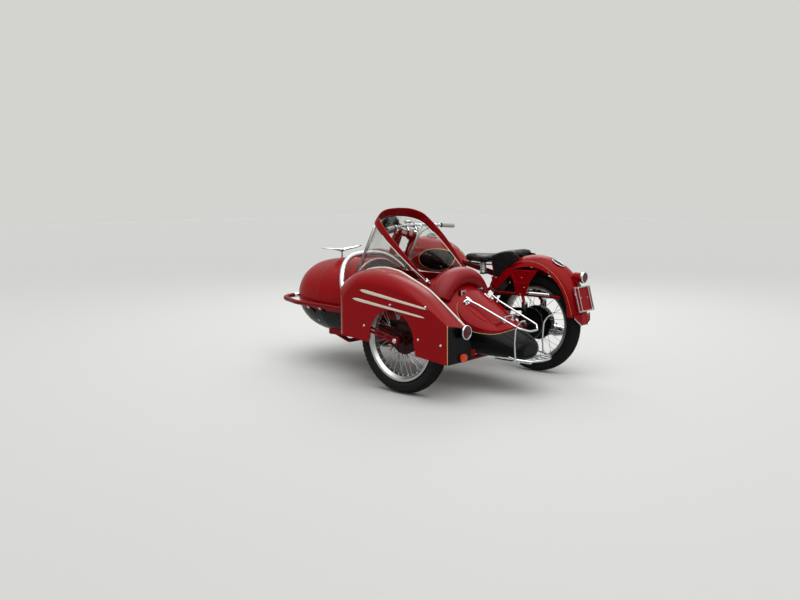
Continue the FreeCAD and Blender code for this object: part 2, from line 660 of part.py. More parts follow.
BAR_Y = 380.0
BAR_POINTS = [(1036, 380, 952), (1085, 230, 962), (1150, 80, 966), (1150, -80, 966),
              (1085, -230, 962), (1036, -380, 952)]


def make_handlebar():
    """Swept handlebar in two clamps on the top yoke, rubber grips and hand levers."""
    bar = tube(BAR_POINTS, 11, 60)
    clamps = [cylinder(17, (1150, s * 34, 966), (1150, s * 58, 966)) for s in (1, -1)]
    posts = [cylinder(9, (1150, s * 46, 966), fork_point(-40, s * 46, YOKE_HIGH[1] + 26)) for s in (1, -1)]
    nodes["handlebar"] = fuse([bar] + clamps + posts).cut(nodes["fork"])
    grips, levers = [], []
    for side in (1, -1):
        end, inner = V(1036, side * 380, 952), V(1085, side * 230, 962)
        run = (inner - end).normalize()
        first = end - run * 6
        last = end + run * 112
        grip = cylinder(16, tuple(first), tuple(last))
        grips.append(grip.cut(bar))
        perch = end + run * 136
        perch_solid = ring(17, 11, tuple(perch - run * 10), tuple(perch + run * 10))
        pivot = perch + V(34, side * 4, 0)
        lever = tube([tuple(perch + V(14, side * 6, 0)), tuple(pivot + V(6, side * 10, 0)),
                      tuple(end + V(52, -side * 30, -2)), tuple(end + V(40, side * 14, -4))], 5, 25)
        levers.append(fuse([perch_solid, lever]).cut(bar))
    nodes["handlebar_grips"] = Part.makeCompound(grips)
    nodes["hand_levers"] = Part.makeCompound(levers)


CABLE_R = 3.0
CABLE_ROUTES = {
    "left_cable": [(1094, 240, 957), (1090, 203, 953), (1088, 158, 944), (1091, 112, 930), (1100, 73, 908),
                   (1113, 52, 868), (1135, 47, 818), (1162, 49, 768), (1190.8, 48, 719.8)],
    "right_cable": [(1094, -240, 957), (1092, -206, 955), (1087, -162, 947), (1089, -118, 934),
                    (1099, -78, 913), (1114, -53, 872), (1137, -46, 820), (1163, -48, 769),
                    (1190.8, -48, 719.8)],
}


def make_cables():
    """Control cables from the lever perches down to the lower yoke."""
    for name, route in CABLE_ROUTES.items():
        solid = tube(route, CABLE_R, 1e6)
        for other in ("hand_levers", "handlebar", "fork"):
            solid = solid.cut(nodes[other])
        nodes[name] = main_solid(solid)


# ---------------------------------------------------------------- sidecar hull
TAIL_SECTIONS = [
    # x, then half width, top and bottom from the hull's axis as shares of its radius
    (TAIL_START, 1.0, 1.0, -1.0),
    (300.0, 0.9937, 0.9582, -1.0),
    (240.0, 0.9725, 0.8249, -1.0),
    (170.0, 0.9358, 0.6166, -1.0),
    (100.0, 0.8945, 0.4255, -1.0),
    (20.0, 0.8361, 0.249, -0.9991),
    (-60.0, 0.7594, 0.0756, -0.9966),
    (-150.0, 0.6618, -0.12, -0.9927),
    (-240.0, 0.5507, -0.3178, -0.9855),
    (TAIL_END, 0.4218, -0.5164, -0.9745),
    (TAIL_END - CAP_LENGTH, 0.2545, -0.6255, -0.9164),
]


def hull_solid(grow=0.0):
    """The hull's outer form, or one set in (negative) or out (positive) from it."""
    radius = HULL_R + grow
    start = V(NOSE_START, HULL_Y, HULL_Z)
    length = NOSE_LENGTH + grow
    tip, crown = start + X * length, start + Z * radius
    shares = [(math.cos(a) ** (2 / NOSE_POWER), math.sin(a) ** (2 / NOSE_POWER))
              for a in (math.radians(step) for step in (12, 28, 45, 62, 78))]
    curve = Part.BSplineCurve()
    curve.interpolate([tip] + [start + X * (length * along) + Z * (radius * up) for along, up in shares]
                      + [crown], InitialTangent=Z, FinalTangent=-X)
    outline = Part.Wire([Part.LineSegment(start, tip).toShape(), curve.toShape(),
                         Part.LineSegment(crown, start).toShape()])
    nose = Part.Face(outline).revolve(start, X, 360)
    barrel = cylinder(radius, (TAIL_START, HULL_Y, HULL_Z), (NOSE_START, HULL_Y, HULL_Z))
    wires = []
    for x, half, top, bottom in TAIL_SECTIONS:
        shift = -grow if x < TAIL_END else 0.0
        wires.append(ellipse_wire(x + shift, half * HULL_R, HULL_Z + top * HULL_R,
                                  HULL_Z + bottom * HULL_R, -grow))
    tail = Part.makeLoft(wires, True)
    return nose.fuse([barrel, tail]).removeSplitter()


def rounded_prism(x, y, z, corner):
    """An upright block with rounded vertical edges."""
    block = box(x, y, z)
    upright = [e for e in block.Edges if abs(e.tangentAt(e.FirstParameter).z) > 0.9]
    return block.makeFillet(corner, upright)


LID_HALF = [(85, 122), (77, 164), (45, 198), (0, 209), (-81, 195), (-166, 158), (-213, 116),
            (-236, 62), (-242, 0)]        # half of the lid's outline seen from above: x, out
LID_MIDDLE = -78.0
LID_T = 12.0
HINGE_X = 92.0
HINGE_Y = (HULL_Y - 95.0, HULL_Y + 95.0)
HINGE_R = 5.0


def lid_prism(inset=0.0):
    """The lid's outline seen from above, broad at the hinges and round at the tail, as a tall block."""
    long_share = 1 - inset / (LID_HALF[0][0] - LID_MIDDLE)
    wide_share = 1 - inset / LID_HALF[3][1]
    half = [V(LID_MIDDLE + (x - LID_MIDDLE) * long_share, out * wide_share, 0) for x, out in LID_HALF]
    round_line = Part.BSplineCurve()
    round_line.interpolate([V(p.x, HULL_Y - p.y, 0) for p in half]
                           + [V(p.x, HULL_Y + p.y, 0) for p in reversed(half[:-1])])
    front = Part.LineSegment(V(half[0].x, HULL_Y + half[0].y, 0), V(half[0].x, HULL_Y - half[0].y, 0))
    return Part.Face(Part.Wire([round_line.toShape(), front.toShape()])).extrude(V(0, 0, 900))


def deck_height(x, y=HULL_Y):
    """Height of the hull's outer skin above a point."""
    line = Part.makeLine(V(x, y, 300), V(x, y, 900))
    return max(v.Z for v in nodes_hidden["outer"].common(line).Vertexes)


nodes_hidden = {}


def make_hull():
    """Hollow hull with the cockpit and boot openings."""
    outer = hull_solid()
    nodes_hidden["outer"] = outer
    inner = hull_solid(-HULL_T)
    shell = outer.cut(inner)
    cockpit = rounded_prism(COCKPIT_X, (HULL_Y - COCKPIT_HALF, HULL_Y + COCKPIT_HALF), (560, 900),
                            COCKPIT_CORNER)
    boot = lid_prism(24.0).common(box((-400, 200), (300, 900), (330, 900)))
    shell = shell.cut(cockpit).cut(boot)
    bulkhead = box((150, 156), (200, 1000), (150, 800)).common(hull_solid(-HULL_T))
    floor = box((160, 1180), (HULL_Y - 158, HULL_Y + 158), (256, 264)).common(hull_solid(-HULL_T))
    nodes["hull_shell"] = shell
    nodes["bulkhead"] = bulkhead
    nodes["cockpit_floor"] = floor


def make_lid():
    """Boot lid: a raised panel over the deck, swinging on two strap hinges at its front edge."""
    high = hull_solid(LID_T)
    low = hull_solid(1.0)
    panel = high.cut(low).common(lid_prism()).common(box((-400, 200), (300, 900), (330, 900)))
    nodes_hidden["hinge_z"] = deck_height(HINGE_X) + 10
    z = nodes_hidden["hinge_z"]
    knuckles, pins = [], []
    for y in HINGE_Y:
        knuckle = cylinder(HINGE_R + 4, (HINGE_X, y - 12, z), (HINGE_X, y + 12, z))
        knuckles += [knuckle, box((HINGE_X - 20, HINGE_X), (y - 10, y + 10), (z - 4, z + 4))]
        pins.append(cylinder(HINGE_R, (HINGE_X, y - 24, z), (HINGE_X, y + 24, z)))
        for end in (-1, 1):
            cheek = box((HINGE_X - 7, HINGE_X + 17), (y + end * 18 - 5, y + end * 18 + 5), (z - 60, z + 8))
            pins.append(cheek.cut(hull_solid()))
    lid = fuse([panel] + knuckles)
    lid = lid.cut(cylinder(HINGE_R + RUNNING, (HINGE_X, 400, z), (HINGE_X, 800, z)))
    lid = lid.cut(hull_solid(0.8))
    nodes["boot_lid"] = max(lid.Solids, key=lambda s: s.Volume)
    nodes["lid_hinges"] = Part.makeCompound([s for s in fuse(pins).Solids if s.Volume > 500])
    nodes["luggage_rails"] = make_rails()


RAIL_R = 6.0
RAIL_ROUTE = [(40, 150, 545), (30, 132, 560), (-40, 112, 530), (-330, 96, 412), (-372, 40, 392)]
RAIL_FEET = (30.0, 132.0, 560.0)    # x, sideways, and height of the rail above
STRAP = (-189.0, 106.0, 465.0)      # x, half width and height of the cross strap
STRAP_POST_Y = 40.0
FOOT_R = 7.0


def make_rails():
    """Luggage rail over the lid: one bent bar, two front feet and a cross strap on two posts."""
    route = [(x, HULL_Y + y, z) for x, y, z in RAIL_ROUTE]
    route += [(x, HULL_Y - y, z) for x, y, z in reversed(RAIL_ROUTE)]
    pieces = [tube(route, RAIL_R, 30)]
    strap_x, strap_half, strap_z = STRAP
    pieces.append(box((strap_x - FOOT_R, strap_x + FOOT_R), (HULL_Y - strap_half, HULL_Y + strap_half),
                      (strap_z - 3, strap_z + 3)))
    for side in (1, -1):
        for x, y, high in (RAIL_FEET, (strap_x, STRAP_POST_Y, strap_z)):
            y = HULL_Y + side * y
            pieces.append(cylinder(FOOT_R, (x, y, deck_height(x, y)), (x, y, high)))
    return main_solid(weld(pieces).cut(nodes["boot_lid"]))


# ---------------------------------------------------------------- sidecar upholstery
ROLL_X = 196.0
ROLL_DEEP = 84.0            # half depth along X
ROLL_TUBE = 72.0            # half height of the padded section
ROLL_ARC = 208.0            # arch radius to the middle of the section
ROLL_Z = 466.0
ROLL_ENDS = (22.0, 158.0)


def make_upholstery():
    """Seat cushion, seat back and the arched backrest roll over the cockpit's rear edge."""
    low = box((300, 720), (HULL_Y - 185, HULL_Y + 185), (264 + HAIR, 400))
    cushion = low.common(hull_solid(-HULL_T - 4))
    nodes["seat_cushion"] = cushion
    back = polygon([(156 + HAIR, 0, 300), (290, 0, 300), (290, 0, 410), (238, 0, 560), (156 + HAIR, 0, 560)])
    back = back.extrude(V(0, 370, 0))
    back.translate(V(0, HULL_Y - 185, 0))
    nodes["seat_back"] = back.common(hull_solid(-HULL_T - 6)).cut(nodes["seat_cushion"])
    centre = V(ROLL_X, HULL_Y, ROLL_Z)
    low_end, high_end = ROLL_ENDS
    oval = Part.Ellipse(centre + V(ROLL_DEEP, ROLL_ARC, 0), centre + V(0, ROLL_ARC + ROLL_TUBE, 0),
                        centre + V(0, ROLL_ARC, 0))
    face = Part.Face(Part.Wire(oval.toShape()))
    face.rotate(centre, X, low_end)
    roll = face.revolve(centre, X, high_end - low_end)
    roll = roll.cut(hull_solid(HAIR)).common(box((0, 600), (0, 1200), (400, 900)))
    nodes["backrest_roll"] = max(roll.Solids, key=lambda s: s.Volume)


# ---------------------------------------------------------------- windscreen and hoop
SCREEN_FOOT_HALF = 214.0
SCREEN_LIFT = 7.4                            # arch's feet above the hull's skin
SCREEN_FOOT = V(289.0, HULL_Y, HULL_Z + math.sqrt(HULL_R ** 2 - SCREEN_FOOT_HALF ** 2) + SCREEN_LIFT)
SCREEN_LEAN = 50.2                           # degrees, the arch's plane from the vertical
SCREEN_MID = (261.6, 330.0)                  # half width and distance up the leaning plane
SCREEN_SHOULDER = (240.8, 548.0)
SCREEN_TOP = 623.0
BAND_T = 4.0
BAND_W = 76.0
BAND_EDGE = [(-20, 38), (250, 48), (500, 50), (SCREEN_TOP, BAND_W), (SCREEN_TOP + 20, BAND_W)]
SILL_R = HULL_R + 5.5                        # radius of the sill trim's own middle line
SILL_TUBE_R = 5.0
PILLAR_R = 6.0
PILLAR_X = 915.0
PILLAR_SPREAD = 248.0
PILLAR_RISE = math.sqrt((SILL_R - 2) ** 2 - PILLAR_SPREAD ** 2)
GLASS_T = 4.0
SCREEN_UP = V(math.sin(math.radians(SCREEN_LEAN)), 0, math.cos(math.radians(SCREEN_LEAN)))
SCREEN_BACK = V(-SCREEN_UP.z, 0, SCREEN_UP.x)


def screen_point(half, up, back=0.0):
    """A point on the arch's leaning plane, or behind it."""
    return SCREEN_FOOT + V(0, half, 0) + SCREEN_UP * up + SCREEN_BACK * back


def screen_face(inset):
    """The area under the arch, closed across its feet."""
    foot, mid, shoulder = SCREEN_FOOT_HALF - inset, SCREEN_MID[0] - inset, SCREEN_SHOULDER[0] - inset
    top = SCREEN_TOP - inset
    at = screen_point
    edges = [Part.Arc(at(foot, 0), at(mid, SCREEN_MID[1]), at(shoulder, SCREEN_SHOULDER[1])).toShape(),
             Part.Arc(at(shoulder, SCREEN_SHOULDER[1]), at(0, top), at(-shoulder, SCREEN_SHOULDER[1])).toShape(),
             Part.Arc(at(-shoulder, SCREEN_SHOULDER[1]), at(-mid, SCREEN_MID[1]), at(-foot, 0)).toShape(),
             Part.LineSegment(at(-foot, 0), at(foot, 0)).toShape()]
    return Part.Face(Part.Wire(edges))


def make_windscreen():
    """Windscreen: visor band on a leaning arch, two pillars, sill trim, front and side glass."""
    band = screen_face(0).extrude(SCREEN_BACK * BAND_W)
    opening = screen_face(BAND_T)
    opening.translate(-SCREEN_BACK * 10 - SCREEN_UP * 0.001)
    band = band.cut(opening.extrude(SCREEN_BACK * (BAND_W + 20)))
    band = band.cut(polygon([tuple(screen_point(-400, -1, -5)), tuple(screen_point(400, -1, -5)),
                             tuple(screen_point(400, -1, 200)), tuple(screen_point(-400, -1, 200))]
                            ).extrude(SCREEN_UP * 1.5))
    side_view = [(BAND_EDGE[0][0], -5)] + BAND_EDGE + [(BAND_EDGE[-1][0], -5)]
    taper = polygon([tuple(screen_point(-400, up, back)) for up, back in side_view])
    band = band.common(taper.extrude(V(0, 800, 0)))
    pillars = []
    for side in (1, -1):
        pillar_foot = (PILLAR_X, HULL_Y + side * PILLAR_SPREAD, HULL_Z + PILLAR_RISE)
        corner = screen_point(side * (SCREEN_SHOULDER[0] - 4), SCREEN_SHOULDER[1] - 4)
        pillars.append(cylinder(PILLAR_R, pillar_foot, tuple(corner)))
        pillars.append(cylinder(9, tuple(screen_point(side * (SCREEN_FOOT_HALF - 5), -30, 8)),
                                tuple(screen_point(side * (SCREEN_FOOT_HALF - 5), 12, 8))))
    centre = V(PILLAR_X, HULL_Y, HULL_Z)
    lift = math.degrees(math.atan2(PILLAR_RISE, PILLAR_SPREAD))
    rim_circle = Part.Wire(Part.Circle(centre + V(0, SILL_R, 0), Z, SILL_TUBE_R).toShape())
    sill = Part.Face(rim_circle)
    sill.rotate(centre, X, lift)
    sill = sill.revolve(centre, X, 180 - 2 * lift)
    frame = fuse([band, sill] + pillars).cut(hull_solid())
    nodes["windscreen_frame"] = frame

    def sill_point(angle):
        spread = math.radians(angle)
        return centre + V(-2, (SILL_R + 4) * math.cos(spread), (SILL_R + 4) * math.sin(spread))
    low_arc = Part.Arc(sill_point(lift + 2), sill_point(90), sill_point(178 - lift)).toShape()
    half = SCREEN_SHOULDER[0] - 10
    high_arc = Part.Arc(screen_point(half, SCREEN_SHOULDER[1] - 6, -3), screen_point(0, SCREEN_TOP - 8, -3),
                        screen_point(-half, SCREEN_SHOULDER[1] - 6, -3)).toShape()
    front = Part.makeRuledSurface(low_arc, high_arc).extrude(V(GLASS_T, 0, 0))
    sides = []
    for side in (1, -1):
        pane_y = HULL_Y + side * (SCREEN_SHOULDER[0] - 6)
        shoulder = screen_point(0, SCREEN_SHOULDER[1] - 14)
        foot = screen_point(0, -34)
        pane = polygon([(shoulder.x - 4, pane_y, shoulder.z),
                        (PILLAR_X - 10, pane_y, HULL_Z + PILLAR_RISE + 4),
                        (foot.x + 20, pane_y, foot.z)])
        sides.append(pane.extrude(V(0, -side * GLASS_T, 0)))
    cut = [part.cut(frame).cut(hull_solid(0.5)) for part in [front] + sides]
    cut[1] = cut[1].cut(cut[0])
    cut[2] = cut[2].cut(cut[0])
    nodes["windscreen_glass"] = Part.makeCompound([max(c.Solids, key=lambda s: s.Volume) for c in cut])


HOOP_TUBE_R = 17.0
HOOP_X = 818.0              # x of the hoop's feet
HOOP_LEAN = 31.7            # degrees forward from the vertical
HOOP_FOOT = 30.0            # its feet outside the hull's radius
HOOP_ROUTE = [(80.5, 160.0), (67.0, 197.0), (-88.0, 374.0)]     # outside the hull's radius, up the lean
HOOP_TOP = 402.0
HOOP_BASE_Z = 452.0
HOOP_LEG = [(HOOP_FOOT, 462), (22, 430), (7, 395), (-13, 340), (-25, 290)]  # inner leg: outside the hull, z


def make_hoop():
    """Bright hoop leaning over the hull: one foot on the chassis loop, the other on the inner rail."""
    lean = math.radians(HOOP_LEAN)
    half = [(HULL_R + HOOP_FOOT, 0.0)] + [(HULL_R + out, up) for out, up in HOOP_ROUTE]
    route = half + [(0.0, HOOP_TOP)] + [(-y, up) for y, up in reversed(half)]
    points = [V(HOOP_X + up * math.sin(lean), HULL_Y + y, HOOP_BASE_Z + up * math.cos(lean))
              for y, up in route]
    arch_line = Part.BSplineCurve()
    arch_line.interpolate(points)
    path = Part.Wire(arch_line.toShape())
    profile = Part.Wire(Part.Circle(points[0], arch_line.tangent(0)[0], HOOP_TUBE_R).toShape())
    pieces = [path.makePipeShell([profile], True, False)]
    for side in (1, -1):
        y = HULL_Y + side * (HULL_R + HOOP_FOOT)
        pieces.append(cylinder(HOOP_TUBE_R + 4, (HOOP_X, y, HOOP_BASE_Z - 22), (HOOP_X, y, HOOP_BASE_Z + 20)))
    pieces.append(tube([(HOOP_X, HULL_Y - HULL_R - out, z) for out, z in HOOP_LEG], HOOP_TUBE_R - 3, 60))
    nodes["hoop"] = main_solid(weld(pieces).cut(nodes["sidecar_chassis"]).cut(hull_solid(HAIR)))


ORNAMENT_X = 1280.0


def make_ornament():
    """A plain winged ornament on a short post on the nose."""
    top = 800.0
    post = cylinder(7, (ORNAMENT_X, HULL_Y, 730), (ORNAMENT_X, HULL_Y, top))
    base = Part.makeCone(20, 9, 12, V(ORNAMENT_X, HULL_Y, 742), Z)
    middle = V(ORNAMENT_X, HULL_Y, top + 4)
    body = Part.makeCone(13, 5, 60, middle, X).fuse(Part.makeCone(13, 3, 40, middle, -X))
    solid = fuse([post, base, body]).cut(hull_solid())
    flat = []
    for side in (1, -1):
        root, tip = HULL_Y + side * 8, HULL_Y + side * 200
        outline = polygon([(ORNAMENT_X + 40, root, 0), (ORNAMENT_X - 24, root, 0),
                           (ORNAMENT_X - 30, HULL_Y + side * 110, 0), (ORNAMENT_X - 4, tip, 0),
                           (ORNAMENT_X + 26, HULL_Y + side * 140, 0)])
        blade = outline.extrude(V(0, 0, 6))
        blade.translate(V(0, 0, top + 1))
        blade.rotate(V(ORNAMENT_X, HULL_Y, top + 4), X, side * 7)
        flat.append(blade)
    nodes["nose_ornament"] = weld([solid] + flat)


# ---------------------------------------------------------------- sidecar chassis
RAIL_Y = FENDER_IN - 70.0
RAIL_Z = 272.0
RAIL_HALF = 18.0
INNER_RAIL_Y = 350.0
LOOP_Z = 440.0
LOOP_OUT = 905.0
LOOP_IN = 295.0
LOOP_FRONT = 1720.0
PIVOT = (650.0, 420.0)
SWING_HALF = 66.0


def make_chassis():
    """Tubular chassis: box-section outer rail, inner rail, cross tubes, bumper loop and struts."""
    r = CHASSIS_TUBE_R
    rail = box((-150, 1085), (RAIL_Y - RAIL_HALF, RAIL_Y + RAIL_HALF), (RAIL_Z - RAIL_HALF, RAIL_Z + RAIL_HALF))
    inner = tube([(-190, INNER_RAIL_Y, RAIL_Z), (1150, INNER_RAIL_Y, RAIL_Z)], r)
    loop = tube([(PIVOT[0] + 20, LOOP_OUT, RAIL_Z), (PIVOT[0] + 70, LOOP_OUT, 400),
                 (PIVOT[0] + 190, LOOP_OUT, LOOP_Z - 8), (1440, LOOP_OUT, LOOP_Z + 2),
                 (LOOP_FRONT, HULL_Y + 215, LOOP_Z + 10), (LOOP_FRONT, HULL_Y - 215, LOOP_Z + 10),
                 (1440, LOOP_IN, LOOP_Z + 2), (1180, LOOP_IN, LOOP_Z - 6), (1060, LOOP_IN + 10, 400),
                 (1000, INNER_RAIL_Y, RAIL_Z)], r, 170)
    pieces = [rail, inner, loop]
    for x in (40, 560, 1060):
        pieces.append(tube([(x, RAIL_Y, RAIL_Z), (x, HULL_Y + 150, HULL_Z - HULL_R - 20),
                            (x, HULL_Y - 150, HULL_Z - HULL_R - 20), (x, INNER_RAIL_Y, RAIL_Z)], 14, 60))
    pivot_tube = cylinder(17, (PIVOT[0], RAIL_Y - 12, PIVOT[1]), (PIVOT[0], SIDE_WHEEL_Y - SWING_HALF - 17, PIVOT[1]))
    pieces.append(cylinder(15, (PIVOT[0], RAIL_Y + 5, RAIL_Z), (PIVOT[0], RAIL_Y + 5, PIVOT[1])))
    pieces.append(pivot_tube)
    for x, z in ((668, 500), (-112, 400)):
        pieces.append(tube([(x, RAIL_Y + 8, RAIL_Z), (x, RAIL_Y + 20, z), (x, FENDER_OUT - 3, z)], 10, 30))
    struts = [
        tube([(980, INNER_RAIL_Y, RAIL_Z), (950, 124, 218)], 13),
        tube([(240, INNER_RAIL_Y, RAIL_Z), (330, 122, 290)], 13),
        tube([(420, INNER_RAIL_Y, RAIL_Z), (400, 200, 470), (347, 12, 560)], 12, 200),
        tube([(1000, INNER_RAIL_Y, RAIL_Z + 4), (1025, 150, 490), (1046, 12, 540)], 12, 80),
    ]
    solid = fuse(pieces + struts).cut(nodes["bike_frame"])
    nodes["sidecar_chassis"] = max(solid.Solids, key=lambda s: s.Volume)
    shackles = []
    for x in (1190, 1310):
        y = 790
        shackles.append(tube([(x, LOOP_OUT - 4, LOOP_Z - 10), (x, 838, 372), (x, y, 300)], 7, 20))
    shackle = fuse(shackles).cut(nodes["sidecar_chassis"]).cut(hull_solid())
    nodes["hull_shackles"] = Part.makeCompound([s for s in shackle.Solids if s.Volume > 1500])
    mounts = []
    for x in (40, 560, 1060):
        for side in (1, -1):
            mounts.append(cylinder(12, (x, HULL_Y + side * 70, HULL_Z - HULL_R - 16),
                                   (x, HULL_Y + side * 70, HULL_Z - HULL_R + 40)))
    blocks = fuse(mounts).cut(nodes["sidecar_chassis"]).cut(hull_solid())
    nodes["hull_mounts"] = Part.makeCompound([s for s in blocks.Solids if s.Volume > 500])


def make_swing_fork():
    """Sidecar wheel's trailing fork: paired tubes each side, cross tube at the pivot, and the axle."""
    pieces = []
    for side in (1, -1):
        y = SIDE_WHEEL_Y + side * SWING_HALF
        for shift in (14, -14):
            pieces.append(cylinder(8, (PIVOT[0], y, PIVOT[1] + shift), (SIDE_WHEEL_X, y, WHEEL_Z + shift * 0.8)))
        pieces.append(cylinder(27, (PIVOT[0], y - 10, PIVOT[1]), (PIVOT[0], y + 10, PIVOT[1])))
        pieces.append(cylinder(23, (SIDE_WHEEL_X, y - 10, WHEEL_Z), (SIDE_WHEEL_X, y + 10, WHEEL_Z)))
    pieces.append(cylinder(15, (PIVOT[0], SIDE_WHEEL_Y - SWING_HALF, PIVOT[1]),
                           (PIVOT[0], SIDE_WHEEL_Y + SWING_HALF, PIVOT[1])))
    pieces.append(cylinder(AXLE_R, (SIDE_WHEEL_X, SIDE_WHEEL_Y - SWING_HALF - 16, WHEEL_Z),
                           (SIDE_WHEEL_X, SIDE_WHEEL_Y + SWING_HALF + 16, WHEEL_Z)))
    nodes["swing_fork"] = fuse(pieces).cut(nodes["sidecar_chassis"])


# ---------------------------------------------------------------- sidecar mudguard
FENDER_SECTIONS = [
    # y, crown outline from front to rear as (x, z)
    (FENDER_IN, [(800, 629), (700, 701), (590, 737), (470, 744), (370, 728), (250, 680), (130, 628),
             (-40, 510), (-160, 424)]),
    (FENDER_OUT - 80.0, [(778, 622), (696, 686), (590, 728), (470, 738), (360, 730), (240, 702), (110, 652),
              (-50, 552), (-163, 452)]),
    (FENDER_OUT - 25.0, [(735, 596), (668, 650), (590, 694), (450, 706), (330, 698), (210, 672), (80, 622),
              (-70, 536), (-162, 462)]),
    (FENDER_OUT, [(692, 546), (640, 613), (580, 650), (430, 659), (300, 652), (180, 628), (40, 580),
              (-100, 505), (-160, 466)]),
]
FENDER_LOW = (324.0, 238.0)
ARCH_CENTRE = (268.0, 250.0)
PANEL_OUTLINE = [(FENDER_OUT - 6, FENDER_LOW[1]), (FENDER_OUT - 6, 520.0), (FENDER_OUT - 30, 480.0),
                 (FENDER_OUT - 70, 440.0), (FENDER_OUT - 120, 420.0), (FENDER_IN + 2, 380.0),
                 (FENDER_IN - 30, 330.0), (FENDER_IN - 30, FENDER_LOW[1])]


def fender_wire(y, crown, inset, drop):
    """A closed mudguard section at one distance from the hull."""
    front_x, rear_x = crown[0][0] - inset, crown[-1][0] + inset
    points = [V(x, y, z - inset) for x, z in crown]
    points[0].x, points[-1].x = front_x, rear_x
    top = Part.BSplineCurve()
    top.interpolate(points)
    low_front = V(front_x, y, FENDER_LOW[0] - drop)
    low_rear = V(rear_x, y, FENDER_LOW[1] - drop)
    return Part.Wire([Part.LineSegment(low_front, points[0]).toShape(), top.toShape(),
                      Part.LineSegment(points[-1], low_rear).toShape(),
                      Part.LineSegment(low_rear, low_front).toShape()])


def make_fender():
    """Sidecar mudguard: a pressed shell, open below and towards the hull, with a wheel cut-out."""
    t = MUDGUARD_T
    outer = Part.makeLoft([fender_wire(y, crown, 0, 0) for y, crown in FENDER_SECTIONS], True)
    inner_rows = [(y - (t if y > FENDER_IN else 10), crown) for y, crown in FENDER_SECTIONS]
    inner = Part.makeLoft([fender_wire(y, crown, t, 60) for y, crown in inner_rows], True)
    shell = outer.cut(inner)
    x, z = ARCH_CENTRE
    y = FENDER_OUT - 40
    cut = Part.Face(Part.Wire([
        Part.LineSegment(V(x + 196, y, 200), V(x + 186, y, 370)).toShape(),
        Part.Arc(V(x + 186, y, 370), V(x, y, 519), V(x - 178, y, 340)).toShape(),
        Part.LineSegment(V(x - 178, y, 340), V(x - 196, y, 200)).toShape(),
        Part.LineSegment(V(x - 196, y, 200), V(x + 196, y, 200)).toShape(),
    ])).extrude(V(0, 100, 0))
    shell = shell.cut(cut)
    nodes["sidecar_mudguard"] = shell
    panel = polygon([(-163, y, z) for y, z in PANEL_OUTLINE]).extrude(X * 3)
    nodes["mudguard_back_panel"] = main_solid(panel.cut(outer))


LAMP_SPOT = (FENDER_IN + 20.0, 424.0)           # y, z of the sidecar's tail lamp
INDICATOR_SPOT = (FENDER_IN + 60.0, 266.0)
PANEL_X = -163.0


def make_sidecar_lamps():
    """Sidecar's red tail lamp and amber indicator on the back panel."""
    y, z = LAMP_SPOT
    mouth = PANEL_X - 34
    nodes["sidecar_lamp"] = fuse([Part.makeCone(25, 37, PANEL_X - mouth, V(PANEL_X, y, z), -X),
                                  ring(45, 38, (mouth, y, z), (mouth - 10, y, z)),
                                  ring(45, 30, (mouth + 6, y, z), (mouth, y, z))])
    nodes["sidecar_lamp_lens"] = cylinder(37.5, (mouth - HAIR, y, z), (mouth - 14, y, z))
    y, z = INDICATOR_SPOT
    nodes["sidecar_indicator"] = cylinder(24, (PANEL_X, y, z), (PANEL_X - 25, y, z))


RACK_LOW = 226.0
RACK_EDGE = [(-300, 150, 242), (-345, 150, 234), (-425, 112, RACK_LOW), (-462, 40, RACK_LOW)]   # x, out, z
RACK_BAR_X = -385.0
RACK_SLATS = [(-462, 0), (-460, 50), (-437, 98)]                # rear end x, out
STAY_ROUTE = [(-345, 236), (-338, 330), (-345, 420), (-375, 462), (-405, 470)]
STAY_Y = 150.0


def make_rack():
    """Bright rack behind the tail: a bowed edge tube, slats and the pair of hooked stays."""
    edge = [(x, HULL_Y - out, z) for x, out, z in RACK_EDGE]
    edge += [(x, HULL_Y + out, z) for x, out, z in reversed(RACK_EDGE)]
    pieces = [tube(edge, 6, 50)]
    pieces.append(cylinder(5, (RACK_BAR_X, HULL_Y - 133, RACK_LOW), (RACK_BAR_X, HULL_Y + 133, RACK_LOW)))
    for x, out in RACK_SLATS:
        for y in sorted({HULL_Y - out, HULL_Y + out}):
            pieces.append(cylinder(4, (RACK_BAR_X, y, RACK_LOW), (x, y, RACK_LOW)))
    for side in (1, -1):
        y = HULL_Y + side * STAY_Y
        pieces.append(tube([(x, y, z) for x, z in STAY_ROUTE], 5, 60))
        y = HULL_Y + side * 50
        pieces.append(box((RACK_BAR_X - 4, -130), (y - 8, y + 8), (198, 203)))
        pieces.append(box((RACK_BAR_X - 4, RACK_BAR_X + 4), (y - 8, y + 8), (198, RACK_LOW + 2)))
        pieces.append(cylinder(8, (-140, y, 200), (-140, y, 230)))
        pieces.append(cylinder(8, (-300, y, 200), (-300, y, 232)))
    nodes["rear_rack"] = main_solid(weld(pieces).cut(hull_solid()))


def make_all():
    make_wheels()
    make_frame()
    make_engine()
    make_exhaust()
    make_foot_controls()
    make_tank()
    make_seats()
    make_rear_mudguard()
    make_pillion_bracket()
    make_chain()
    make_tail_lamp_and_plate()
    make_fork()
    make_front_mudguard()
    make_headlamp()
    make_handlebar()
    make_cables()
    make_hull()
    make_lid()
    make_upholstery()
    make_windscreen()
    make_chassis()
    make_hoop()
    make_ornament()
    make_swing_fork()
    make_fender()
    make_sidecar_lamps()
    make_rack()


def export():
    """Move the assembly to its box's bottom centre and write one STEP file for each node."""
    whole = Part.makeCompound(list(nodes.values())).optimalBoundingBox(False, False)
    shift = V(-(whole.XMin + whole.XMax) / 2, -(whole.YMin + whole.YMax) / 2, 0)
    print("origin moved by", [round(v, 3) for v in shift], "lid hinge height", round(nodes_hidden["hinge_z"], 3))
    os.makedirs("parts", exist_ok=True)
    for name, shape in nodes.items():
        shape.translate(shift)
        shape.exportStep("parts/" + name + ".step")


make_all()
export()
